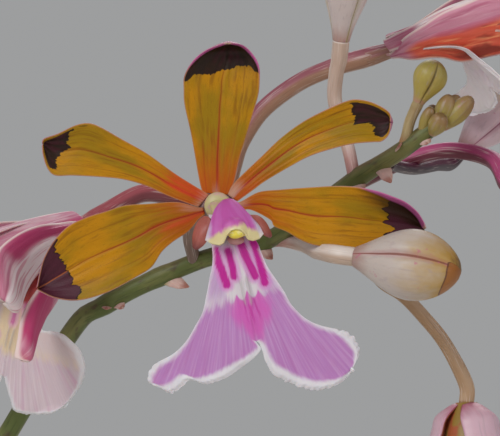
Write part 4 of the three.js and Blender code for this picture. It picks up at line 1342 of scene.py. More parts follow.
# Buds: the waxy backs of closed sepals, cream and pink as they ripen and green while small
WHITE_BUD = BudSkin("bud_skin_cream", "#bdb0a8", "#ab8420", "#9c7870", "#b9697a", "#7a3a28")
PALE_BUD = BudSkin("bud_skin_pale", "#cbbdb8", "#a9a04d", "#a87f70", "#a8a05a", "#8a7a40")
PINK_BUD = BudSkin("bud_skin_pink", "#cbb2b8", "#c7bb98", "#8a5a50", "#a85a78", "#8a4a5c")
OPENING_BUD = BudSkin("bud_skin_opening", "#c9a6b2", "#b0809a", "#a0405c", "#a8406c", "#7d2c40")
GREEN_BUD = BudSkin("bud_skin_green", "#ae9c4e", "#837433", "#b08478", "#8a6a3c", "#5f4f22")
TIP_BUD = BudSkin("bud_skin_tip_cluster", "#9b8a48", "#8a6a48", "#a87868", "#7a5a3c", "#5f4f22")

BUDS = [
    Bud("upper", (96.2, -37, 461.7), (97.4, -41, 474.1), 6.3, 0.62, 1.05, PALE_BUD, 20),
    Bud("front", (97.3, -47.5, 435.4), (109.8, -51, 433.7), 8.5, 0.56, 1.15, WHITE_BUD, 77, capped=True),
    Bud("lower", (111.75, -36, 417.2), (112.2, -37.5, 402.6), 7.2, 0.5, 0.95, OPENING_BUD, 0, 14),
    Bud("rear", (113, -14.5, 448.9), (121.6, -12.5, 457.8), 6.8, 0.55, 0.95, PINK_BUD, 40),
    Bud("small", (105.5, -39.95, 454), (107.75, -41, 459.1), 4.2, 0.62, 0.72, GREEN_BUD, 47, 0, 0.3, "green_bud"),
]


@dataclass
class Stalk:
    """The stalk of a bloom or bud: thin at the stem, a little thicker and grooved behind what it carries."""

    name: str
    girth: Pair
    route: list[Point]
    skin: StalkSkin

    def build(self, carried: Point, direction: Array, gap: float, shoulder: float = 0) -> None:
        """Makes the stalk, straight at its end.

        Args:
            carried: The foot of what it carries.
            direction: The way that points there.
            gap: How far before the foot it stops.
            shoulder: The share by which its end narrows.
        """
        carried = np.asarray(carried, float)
        ends = [carried - (gap + 2) * direction, carried - (gap - 0.5) * direction]

        def grooved(t: Array, angle: Array) -> Array:
            """Returns the girth with six shallow grooves."""
            body = between(self.girth, t) * (1 + 0.25 * bump(t, 0.035)) * (1 - shoulder * smooth(0.93, 1, t) ** 2)
            return body * (1 + 0.035 * np.cos(6 * angle) * smooth(0.25, 0.7, t) + 0.03 * uneven(5, t * 30, 3))

        stalk = rod(f"{self.name}_stalk", Route([*self.route, *ends]), grooved, 28, 96)
        settle(stalk, self.skin.finish(), "flower_stem")


@dataclass
class FlowerStem:
    """The arching flower stem with its clasping sheaths, its small bracts and the buds crowded at its tip."""

    base_radius: float = 1.8
    raceme_radius: float = 1.25
    tip_radius: float = 1.05
    route: Line = (
        (9, 6, 154.8), (8.4, 5, 200), (10, 3.5, 255), (17, 0, 310), (28, -5, 354), (43, -11, 393), (60.2, -17, 423),
        (66.5, -20, 428.9), (77.9, -23, 434.3), (86.5, -28, 436.8), (92.5, -33, 440.7), (97.9, -37, 444.7),
        (103.6, -39, 448.3), (108.4, -40, 452),
    )
    sheaths: tuple[float, ...] = (0.1, 0.24, 0.39, 0.54, 0.68)
    raceme_joints: tuple[float, ...] = (0.845, 0.868, 0.9, 0.935, 0.965)
    sheath_share: float = 0.05
    bracts: tuple[tuple[Point, Point], ...] = (
        ((66.5, -20.2, 429.4), (66.4, -22, 427.6)), ((67.5, -20.4, 429.4), (68.9, -22, 427.9)),
        ((74.6, -22.3, 432.2), (77.5, -23.5, 430.8)), ((86.5, -28.2, 436.4), (88, -29.4, 434.4)),
        ((101.2, -38.6, 446.2), (102.3, -40.4, 443.8)), ((97.9, -37.2, 444.4), (99.3, -38.8, 443.2)),
        ((103.6, -39.2, 448.2), (102.8, -40.4, 449.3)), ((105.8, -39.6, 449.9), (107.2, -40.8, 448.8)),
    )
    tip_buds: tuple[tuple[Point, Point, float], ...] = (
        ((108.4, -39.8, 450.9), (112.1, -40.3, 454.7), 2.6), ((107.9, -40, 451.2), (109.4, -40.6, 455), 2.4),
        ((105.9, -39.8, 450.4), (107.1, -40.6, 453.5), 1.7), ((107.2, -40.4, 450.2), (108.3, -42.5, 452.5), 2.4),
        ((108.2, -39.6, 451.2), (110.6, -37.8, 455), 2.3), ((107.6, -39.6, 451), (107.4, -37.6, 453.8), 1.9),
    )

    def girth(self, t: Array) -> Array:
        """Returns the radius of the axis at shares t of its length."""
        return np.interp(t, [0, 0.8, 1], [self.base_radius, self.raceme_radius, self.tip_radius])

    def build(self) -> None:
        """Makes the axis and all that is small on it."""
        axis = Route(self.route)

        def jointed(t: Array, angle: Array) -> Array:
            """Returns the girth, swollen a little at each joint."""
            swell = sum(bump((t - joint) * axis.length, 1.4) for joint in self.sheaths + self.raceme_joints)
            return self.girth(t) * (1 + 0.12 * swell + 0.015 * np.cos(8 * angle))

        groups = (
            ("stem_axis", STEM_SKIN, [rod("stem_axis", axis, jointed, 24, 340)]),
            ("stem_sheaths", PAPERY_SHEATH, [self.sheath(axis, t, i) for i, t in enumerate(self.sheaths)]),
            ("stem_bracts", BRACT_SKIN, [self.bract(*ends, i) for i, ends in enumerate(self.bracts)]),
            ("tip_buds", TIP_BUD.finish(), [self.tip_bud(*bud) for bud in self.tip_buds]),
        )
        for name, finish, pieces in groups:
            settle(joined(name, pieces), finish, "flower_stem")

    def sheath(self, axis: Route, start: float, number: int) -> Piece:
        """Makes a sheath that clasps the stem above a joint and ends in a point on one side.

        Args:
            axis: The stem's route.
            start: The joint, as a share of the stem's length.
            number: Its number along the stem.

        Returns:
            The sheath.
        """

        def layout(u: Array, v: Array) -> Laid:
            """Wraps the grid round the stem."""
            angle = TURN * u * 0.94 + 0.19 + number * 2.6
            point = 0.45 + 0.75 * np.maximum(0, np.cos(math.pi * (u - 0.5))) ** 3
            t = start - 0.004 + self.sheath_share * v * point
            facing, square = axis.sides(t, (0, -1, 0))
            radius = self.girth(t) * 1.12 + 0.12 + 0.28 * smooth(0.3, 0.0, v) * smooth(-0.2, 0.2, v)
            radius += 0.3 * v**2 + 0.05 * uneven(number, angle * 4, 0.7)
            flow = ring(radius, angle, t * axis.length)
            places = axis.at(t) + facing * flow[:, :1] + square * flow[:, 1:2]
            return places, {"along": v, "flow": flow, "full": 1 - v**3}

        return thicken(lay_grid("sheath", 56, 30, layout), 0.2, 0.4)

    def bract(self, foot: Point, tip: Point, number: int) -> Piece:
        """Makes a small cupped bract.

        Args:
            foot: Where it grows from.
            tip: Where it points.
            number: Its number along the stem.

        Returns:
            The bract.
        """
        foot, reach = np.asarray(foot, float), np.subtract(tip, foot)
        outward = unit(np.cross(np.cross(reach, (0, -1, 0.3)), reach))
        side = np.cross(outward, unit(reach))

        def layout(u: Array, v: Array) -> Laid:
            """Lays the bract out as a cupped triangle with a curled tip."""
            across = 2 * u - 1
            half = (1 - v**2) ** 0.9
            cup = 0.3 * (1 - across**2) * (1 - 0.7 * v) - 0.1 + 0.6 * v**4 + 0.1 * uneven(number, v * 5, 1)
            places = foot + np.outer(v - 0.08, reach) + np.outer(across * half, side) + np.outer(cup, outward)
            flow = spots(across * half, number, v * np.linalg.norm(reach))
            return places, {"along": v, "flow": flow, "full": 1 - np.abs(across) ** 3}

        return thicken(lay_grid("bract", 16, 20, layout), 0.13, 0.5)

    def tip_bud(self, foot: Point, tip: Point, width: float) -> Piece:
        """Makes one of the tiny buds.

        Args:
            foot: Where it starts.
            tip: Where it ends.
            width: Its widest width in mm.

        Returns:
            The bud.
        """
        belly = bellied(0.5, 0.25, width / 2, 0.55)

        def seamed(t: Array, angle: Array) -> Array:
            """Returns the radius, lower along three seams."""
            return belly(t) * (1 - 0.09 * bump(from_seam(angle + width * 9), 0.2) * smooth(0.1, 0.4, t))

        bud = rod("tip_bud", Route([foot, tip]), seamed, 36, 28, 2)
        mark(bud, "seam", 1)
        return bud


# The blooms, each in its own frame: x to its right, y up and z toward whoever looks at it


@dataclass(frozen=True)
class Zone:
    """A coloured zone of a blade: its stretch along the blade and across it, and its strength."""

    along: Pair
    across: Pair = (-2, 2)
    strength: float = 1

    def share(self, s: Array, x: Array) -> Array:
        """Returns how far places at shares s of the length and x across lie in the zone."""
        inside = smooth(-0.09, 0.09, s - self.along[0]) * smooth(0.09, -0.09, s - self.along[1])
        inside = inside * smooth(-0.3, 0.3, x - self.across[0]) * smooth(0.3, -0.3, x - self.across[1])
        return self.strength * inside


@dataclass(frozen=True)
class Tepal:
    """A tepal: its two margins seen from the front, its relief and the edge of its dark patch."""

    name: str
    left: Line
    right: Line
    direction: float
    rise: float
    arch: float
    channel: float
    cup: float
    patch: Line
    teeth: float = 0.35
    rim: float = 0
    rolled_rim: tuple[float, float, float] = (0, 1, 0)
    keel: float = 0.1
    seed: int = 1
    hinge: float = 1.6

    def height(self, s: Array, u: Array) -> Array:
        """Returns the front's height in mm at shares s of the length, and u from -1 to 1 across."""
        base = self.rise * s**2 + self.arch * np.sin(np.pi * s) * s + self.channel * u**2 * smooth(0.3, 0.7, s)
        return base + self.cup * smooth(0.82, 1, s) ** 1.5

    def build(
        self, place: Array, fold: float, share: float, mesh: tuple[int, int], zones: dict[str, Zone],
    ) -> Piece:
        """Makes the tepal in a bloom.

        Args:
            place: The frame of the bloom.
            fold: How far it folds forward about its foot, in degrees.
            share: The share of its width that is left as its margins roll in.
            mesh: Faces across it and along it.
            zones: Its coloured zones, by the mark of each.

        Returns:
            The tepal.
        """
        left, right = Route(self.left), Route(self.right)
        way = np.array(cos_sin(self.direction))
        hinge = np.array([*(self.hinge * way), 0])
        axis = np.array([way[1], -way[0], 0])
        c, s_ = cos_sin(fold)
        turn = c * np.eye(3) + s_ * np.cross(np.eye(3), axis) + (1 - c) * np.outer(axis, axis)
        mirrored = -1 if way[0] < -0.5 else 1

        def layout(u: Array, v: Array) -> Laid:
            """Rules the blade between its margins."""
            x = mirrored * (2 * u - 1)
            s = v * 0.994
            flat, wide = ruled(left, right, s, (share * x + 1) / 2)
            half = wide / 2
            edge = half * share * (1 - np.abs(x))
            inner = smooth(0.05, 0.2, s) * smooth(1, 0.93, s)
            groove = 0.16 * bump(x * half, 0.22)
            ribs = 0.03 * np.cos(x * 5.5 * math.pi) * smooth(1, 0.8, np.abs(x))
            ruffle = 0.12 * uneven(self.seed, s * 9 + np.sign(x) * 3, 1.3) * np.abs(x) ** 3
            side, start, width = self.rolled_rim
            sided = smooth(start, start + 0.3, s) * (smooth(-0.2, 0.2, x * side) if side else 1.0)
            roll = smooth(width * (0.25 + 0.75 * sided), 0, edge) * sided if width else 0
            shade = smooth(width * 4.2, width, edge) * sided if width else 0
            flat[:, 2] = self.height(s, x) + (ribs + ruffle - groove) * inner + 0.75 * roll**1.5
            along_mm, across_mm = flat[:, :2] @ way, flat[:, :2] @ [-way[1], way[0]]
            ends, reaches = zip(*sorted(self.patch))
            tooth = uneven(self.seed + 20, across_mm + 40, 0.42) + 0.6 * uneven(self.seed + 21, across_mm + 40, 0.19)
            patch = along_mm - np.interp(across_mm, ends, reaches) + self.teeth * tooth
            patch = np.where(edge < self.rim, np.minimum(patch, edge - self.rim), patch)
            vein = np.maximum(0, np.cos(x * half * TURN / 0.85 * (1.6 / (0.5 + np.maximum(half, 0.3)))))
            marks = {
                "along": s, "edge": edge, "middle": np.abs(x) * half, "patch": patch, "vein": vein,
                "roll": roll, "shade": shade, "keel": self.keel,
                "rim": smooth(0.55, 0.8, s) * (1.0 if self.rim else 0.0),
                "full": smooth(0, 0.7, edge) * smooth(0, 0.4, (1 - s) * 20),
                "flow": spots(x * 3.0, self.seed * 5, s * 20),
            } | {zone: where.share(s, x) for zone, where in zones.items()}
            return moved(place, (flat - hinge) @ turn.T + hinge), marks

        return thicken(lay_grid(self.name, *mesh, layout), 0.5, 0.22)


TEPALS = (
    Tepal(
        "dorsal_sepal",
        ((-1, 1.3), (-1.7, 2), (-2.8, 8), (-3.6, 11.8), (-3.7, 13.6), (-3.6, 15.2), (-2.6, 16.9), (-1.2, 18.1),
         (0.4, 18.7), (1.6, 19)),
        ((1.6, 1.1), (2.3, 2.7), (2.9, 5.3), (3.8, 8.3), (4.6, 11), (5.2, 13.2), (5.3, 15), (5.2, 16.4),
         (4.6, 17.6), (3.4, 18.7), (1.6, 19)),
        direction=86, rise=0.6, arch=0.9, channel=0.9, cup=2.2,
        patch=((4.33, 14.16), (3.67, 15.1), (2, 15.3), (1.06, 15.5), (0.27, 16), (-1.15, 16.4), (-3.04, 16.7),
               (-3.43, 16.3), (-3.94, 15.9)),
        teeth=0.1, rolled_rim=(0, 0.6, 0.55), keel=0, seed=1,
    ),
    Tepal(
        "left_petal",
        ((-0.7, 1.1), (-4.6, 3.5), (-8.1, 6), (-11.3, 7.8), (-13.8, 9.2), (-15.2, 9.6), (-16.7, 9.3),
         (-18.7, 8.3), (-20.3, 7.7), (-20.5, 7.1)),
        ((-2, -0.4), (-5.5, 0.9), (-8.1, 2.1), (-10.8, 2.9), (-13.4, 3.2), (-16.9, 3.4), (-19, 3.4),
         (-19.9, 4.2), (-20.4, 5.8), (-20.5, 7.1)),
        direction=158, rise=0.8, arch=1.4, channel=0.7, cup=0.5,
        patch=((-2.9, 17.6), (-2.38, 18.65), (-1.11, 19.2), (-0.02, 19), (0.17, 18.3), (1.3, 19.3), (2.08, 19.4),
               (3.37, 18.96), (3.6, 23)),
        teeth=0.2, rim=0.28, keel=0, seed=2,
    ),
    Tepal(
        "right_petal",
        ((1.5, 1.1), (2.3, 2.5), (5.2, 5.3), (7.8, 7.8), (10.4, 9.7), (13.1, 11.1), (15.7, 12.2), (17.1, 12.4),
         (18.9, 12), (20.7, 10.9), (20.9, 9.7)),
        ((2.7, 0.3), (4.5, 1.6), (6, 2.7), (8.7, 4.3), (11.3, 5.7), (14, 6.6), (16.6, 7.2), (18.9, 7.4),
         (19.9, 7.5), (20.7, 8.3), (20.9, 9.7)),
        direction=27, rise=0.8, arch=1.4, channel=0.7, cup=0.5,
        patch=((-2.6, 25), (-2.2, 20.9), (-1.43, 20.93), (-0.52, 20.9), (0.02, 20.8), (0.65, 19.83), (0.96, 19.1),
               (1.53, 19.8), (3.13, 19.54), (4, 18.9)),
        teeth=0.3, rim=0.35, keel=0, seed=3,
    ),
    Tepal(
        "left_sepal",
        ((-1.4, -0.4), (-2.1, -0.4), (-4.6, 0.2), (-8.1, 0), (-10.8, -0.2), (-13, -0.9), (-15.2, -1.6),
         (-17.3, -2.6), (-18.7, -3.9), (-19.6, -5.1), (-20.4, -6.7), (-20.8, -8.3), (-21.1, -9.8), (-21.3, -10.1)),
        ((-1.2, -1.3), (-2, -1.9), (-3.2, -3.3), (-5.1, -4.6), (-6.4, -5.8), (-7.6, -7.6), (-9.5, -8.8),
         (-12.3, -10.3), (-14.8, -11.2), (-16.9, -11.5), (-19, -11.2), (-20.4, -10.6), (-21.3, -10.1)),
        direction=202, rise=0.6, arch=1.6, channel=0.9, cup=0.4,
        patch=((-2.92, 19.42), (-0.83, 19.4), (0.56, 19.15), (2.09, 19.1), (3.78, 18.67), (4.2, 19.6)),
        teeth=0.42, keel=1, seed=4,
    ),
    Tepal(
        "right_sepal",
        ((2, 0.5), (2.9, 0.2), (5.2, 1.4), (7.8, 1.7), (10.4, 1.9), (14, 2.1), (16.6, 2), (19.2, 1.5), (21, 0.9),
         (22.7, 0.2), (24.1, -0.9), (24.9, -2.1), (25.3, -3.1)),
        ((2.8, -1), (4.2, -0.7), (6.6, -1.9), (7.1, -2.7), (8.7, -3.4), (10.2, -4.3), (12.2, -5), (15.5, -5.2),
         (17.9, -5.4), (21, -5), (23.4, -4.3), (25.3, -3.1)),
        direction=354, rise=-1.6, arch=1.2, channel=0.9, cup=0.4,
        patch=((-2.3, 19.7), (-1.26, 20.8), (-0.7, 21.3), (-0.11, 20.45), (0.83, 20.6), (1.46, 20.2), (2.4, 20.4)),
        teeth=0.45, rolled_rim=(-1, 0.5, 0.85), keel=0.8, seed=5,
    ),
)


@dataclass(frozen=True)
class LipShape:
    """The outline of a lip: its axis down to the notch and its right lobe, and its left one where that differs."""

    axis: Line
    right_outer: Line
    right_lower: Line
    left_outer: Line
    left_lower: Line
    height: float
    droop: float
    ridge: float
    stripes: tuple[Line, ...]
    wedge: float
    outer_white: tuple[Point, Point]
    lower_white: tuple[Point, Point]
    ridge_width: float = 1.1
    left_share: float = 0.55

    def way(self) -> Array:
        """Returns the direction of the axis."""
        return unit(np.subtract(self.axis[-1], self.axis[0]))

    def spot(self, places: Array) -> tuple[Array, Array]:
        """Returns how far down the axis points of the lip lie, and how far out to its left."""
        way, away = self.way(), places[:, :2] - np.asarray(self.axis[0])
        return away @ way, away[:, 0] * way[1] - away[:, 1] * way[0]

    def mirrored(self, points: Sequence[Point]) -> list[Point]:
        """Returns the points mirrored in the axis."""
        way = self.way()
        _, out = self.spot(np.array(points, float))
        return [(x - 2 * o * way[1], y + 2 * o * way[0]) for (x, y), o in zip(points, out)]

    def relief(self, places: Array) -> Array:
        """Returns the height of the front at points of the lip."""
        down, out = self.spot(places)
        ridge = self.ridge * bump(out, self.ridge_width) * smooth(12, 7, down)
        return self.height - self.droop * (out**2 + 0.5 * (down - 5) ** 2) + ridge


@dataclass
class Lip:
    """A lip: two lobes that share its claw and its axis down to the notch, with a crisped white margin."""

    shape: LipShape
    root: Point
    root_half: float = 1.2
    claw_share: float = 0.1
    mesh: tuple[int, int] = (56, 180)
    share: float = 5 / 12
    thickness: float = 0.42

    def marks(self, flat: Array, side: float) -> dict[str, Array]:
        """Measures where the colours of the lip lie.

        Args:
            flat: Its points in the plane of its outline.
            side: 1 on the right lobe and -1 on the left one.

        Returns:
            The marks.
        """
        down, out = self.shape.spot(flat)
        stripe = np.full(len(flat), 9.0)
        for *points, half in self.shape.stripes:
            line = Route(points)
            near = np.min(np.linalg.norm(flat[:, None, :2] - line.samples[None, ::4, :2], axis=2), axis=1)
            stripe = np.minimum(stripe, near - half)
        toward = np.arctan2(-out, np.maximum(down, -2) + 2.5) * 22
        reach = np.hypot(out, down + 2.5)
        band = np.interp(-out, [-9, -2.2, -1.2, 0, 1.5, 3, 9], [7.2, 5.9, 6.2, 6.4, 6.2, 5.6, 5.6])
        jag = 0.9 * np.abs(np.sin(out * 2.4 + 0.5)) - 0.3
        wedge_half = np.interp(down - jag, [5.0, 5.8, 7.4, 8.8, 10, 11, 12], [-3, 1.5, 1.9, 1.2, 0.4, -0.3, -1.2])
        return {
            "stripe": stripe, "neck": (band - down + 0.5 * jag) * 0.9,
            "wedge": self.shape.wedge + wedge_half - np.abs(out + 0.25),
            "flank": smooth(1.4, 2.6, np.abs(out - 0.2)) * smooth(7.5, 3.5, down) * smooth(-1, 1, down),
            "throat": smooth(0.2, -1.4, down),
            "flow": spots(toward, 3 * side, reach),
        }

    def lobe(self, side: float, place: Array) -> Piece:
        """Makes one lobe with its half of the claw.

        Args:
            side: 1 for the right lobe and -1 for the left one.
            place: The frame in which it lies.

        Returns:
            The lobe.
        """
        shape, number = self.shape, int(side < 0)
        rim, rest = shape.right_outer, shape.right_lower
        if side < 0:
            rim, rest = shape.left_outer or shape.mirrored(rim), shape.left_lower or shape.mirrored(rest)
        outer, lower, axis = Route(rim), Route([shape.axis[-1], *rest]), Route(shape.axis)

        def crisp(seed: int, walk: Array) -> Array:
            """Returns the scallops of a margin at a way along it."""
            scallop = np.abs(np.cos(np.pi * (walk / 0.8 + 0.7 * uneven(seed, walk, 1.1)))) - 0.6
            return 0.2 * scallop + 0.12 * uneven(seed + 1, walk, 0.45) + 0.12 * uneven(seed + 2, walk, 1.7)

        def layout(u: Array, v: Array) -> Laid:
            """Rules the lobe between the axis and its margins, and the claw between its root and the lobe."""
            x = 1 - u if side > 0 else u
            s = np.clip((v - self.claw_share) / (1 - self.claw_share), 0, 1)
            claw = np.clip(1 - v / self.claw_share, 0, 1)
            upper = s <= self.share + 1e-6
            below = np.clip((s - self.share) / (1 - self.share), 0, 1)
            inner = np.where(upper[:, None], axis.at(np.minimum(s / self.share, 1)), lower.at(below * 0.992))
            span = outer.at(s * 0.992) - inner
            wide = np.linalg.norm(span, axis=1)
            flat = inner + span * x[:, None]
            near_rim, near_inner = (1 - x) * wide, np.where(upper, 9.0, x * wide)
            outward = span / np.maximum(wide, 0.2)[:, None]
            free = smooth(0.6 + 0.2 * number, 0.8 + 0.14 * number, s)
            loose = smooth(0.12, 0.4 + 0.4 * number, below) * np.where(upper, 0, 1)
            tip = smooth(1, 0.97, s)
            walk, stroll = s * outer.length, below * lower.length
            fringe = free * smooth(1.3, 0, near_rim) * crisp(31 + number, walk)
            fringe = fringe - loose * smooth(1.3, 0, near_inner) * crisp(51 + number, stroll)
            slit = 0.16 * bump(below - 0.03, 0.025) * smooth(0.8, 0, near_inner)
            flat = flat + outward * (fringe * tip + slit)[:, None]
            split = smooth(0, 0.3, below)
            waves = 0.24 * free * uneven(41 + number, walk, 1.7) * smooth(2.4, 0, near_rim)
            waves = waves + 0.3 * split * uneven(61 + number, stroll, 1.7) * smooth(2.6, 0, near_inner)
            drop = 0.35 * np.maximum(free * smooth(0.6, 0, near_rim), split * smooth(0.6, 0, near_inner))
            toward, _, reach = self.marks(flat, side)["flow"].T
            veins = 0.03 * np.cos(toward * 3.5) * smooth(4, 8, reach)
            callus = bump(x * wide - 0.4, 0.24) * smooth(0.1, 0.15, s) * smooth(0.29, 0.24, s)
            flat[:, 2] = shape.relief(flat) + waves * tip - drop + veins + 0.3 * callus
            root = np.asarray(self.root) + np.outer(x * side, (self.root_half, 0, 0))
            way = shape.way()
            bend = flat - np.outer(0.3 * np.linalg.norm(root - flat, axis=1), [*way, 0])
            c = claw[:, None]
            places = (1 - c) ** 2 * flat + 2 * c * (1 - c) * bend + c**2 * root
            outer_white = np.interp(s, *shape.outer_white) * (1 if side > 0 else shape.left_share)
            margin = np.minimum(near_rim - outer_white, near_inner - np.interp(below, *shape.lower_white))
            return moved(place, places), self.marks(places, side) | {
                "margin": margin + 3 * claw, "callus": callus,
                "full": np.maximum(smooth(0, 0.9, np.minimum(near_rim, near_inner)), claw),
            }

        return lay_grid("lobe", *self.mesh, layout)

    def build(self, name: str, place: Array) -> Piece:
        """Returns both lobes, made as one blade in the frame of their place."""
        blade = joined(name, [self.lobe(-1, place), self.lobe(1, place)])
        return thicken(close_up(blade, False), self.thickness, 0.3)


SPREAD_LIP = LipShape(
    ((2.5, -5.2), (3.6, -10), (4.9, -16.2)),
    ((5.4, -5.4), (6, -6.9), (6.5, -7.8), (7.4, -9.1), (8.3, -10.5), (9.1, -11.9), (10.7, -13.5), (12.6, -14.4),
     (14.8, -14.9), (16, -15.4), (16.9, -16.3), (17.2, -17.3), (17, -18.4), (16.3, -19.6)),
    ((5.6, -17.2), (6, -18.6), (6.7, -19.8), (8.3, -21), (10, -21.7), (12.1, -22), (14.2, -21.6), (15.6, -20.7),
     (16.3, -19.6)),
    ((-0.3, -5.1), (-0.2, -6.2), (-0.3, -7.5), (-0.6, -8.9), (-0.9, -10.6), (-1.4, -12.8), (-2.3, -14.5),
     (-3.4, -16.3), (-4.8, -17.7), (-6.7, -18.8), (-7.6, -19.8), (-7.9, -21), (-7.4, -21.6)),
    ((5.5, -17), (5.4, -17.4), (4.7, -18.2), (3.3, -19.3), (1.6, -20.5), (-0.2, -21.2), (-1.3, -21.4),
     (-2.8, -20.9), (-4.4, -22.1), (-5.5, -22.4), (-6.4, -21.9), (-7.4, -21.6)),
    height=5.7, droop=0.011, ridge=0.6,
    stripes=(
        ((-0.2, -4.2), (0.25, -6.2), (0.75, -7.6), (1.46, -9.5), 0.47),
        ((1.6, -5.6), (1.9, -6.6), (2.15, -7.6), (2.3, -8.6), 0.4),
        ((3.2, -4.9), (3.75, -6.3), (4.25, -7.4), (4.8, -8.5), 0.46),
        ((4.4, -4.0), (5.1, -6), (5.55, -7.6), (5.95, -9.3), 0.44),
    ),
    wedge=0.25,
    outer_white=((0, 0.5, 0.66, 0.78, 1), (0.1, 0.14, 0.4, 0.95, 1.15)),
    lower_white=((0, 0.12, 0.35, 1), (0.3, 0.6, 1.2, 1.2)),
)
ROUNDED_LIP = LipShape(
    ((0, 0), (-1.6, -4.6), (-2.9, -9.1)),
    ((2.6, 0), (2.9, -1.7), (2.8, -3.1), (4, -3.3), (5.3, -3.7), (6.4, -4.7), (7.3, -5.9), (7.7, -7.6),
     (7.5, -8.9), (7, -10.1), (6, -11.5), (4.7, -12.9)),
    ((-2.7, -11.1), (-2.5, -12.9), (-1.8, -13.9), (-0.4, -14.3), (1.1, -14.2), (2.9, -14), (4.7, -12.9)),
    (), (),
    height=0.5, droop=0.02, ridge=0.4,
    stripes=(
        ((3.0, 7.6), (1.4, 4), (0, 0.8), (-0.9, -2), 0.3), ((4.2, 7.6), (2.6, 4), (1.1, 0.6), (0.9, -1.8), 0.3),
        ((5.0, 7.4), (3.8, 4), (2.3, 0.6), (2.2, -1.2), 0.2), ((-3.6, -3.6), (-4.3, -4.6), (-4.6, -5.6), 0.4),
    ),
    wedge=-4,
    outer_white=((0, 0.3, 0.6, 1), (0.2, 0.5, 0.8, 0.8)),
    lower_white=((0, 0.2, 0.5, 1), (0.3, 0.5, 0.7, 0.8)),
)


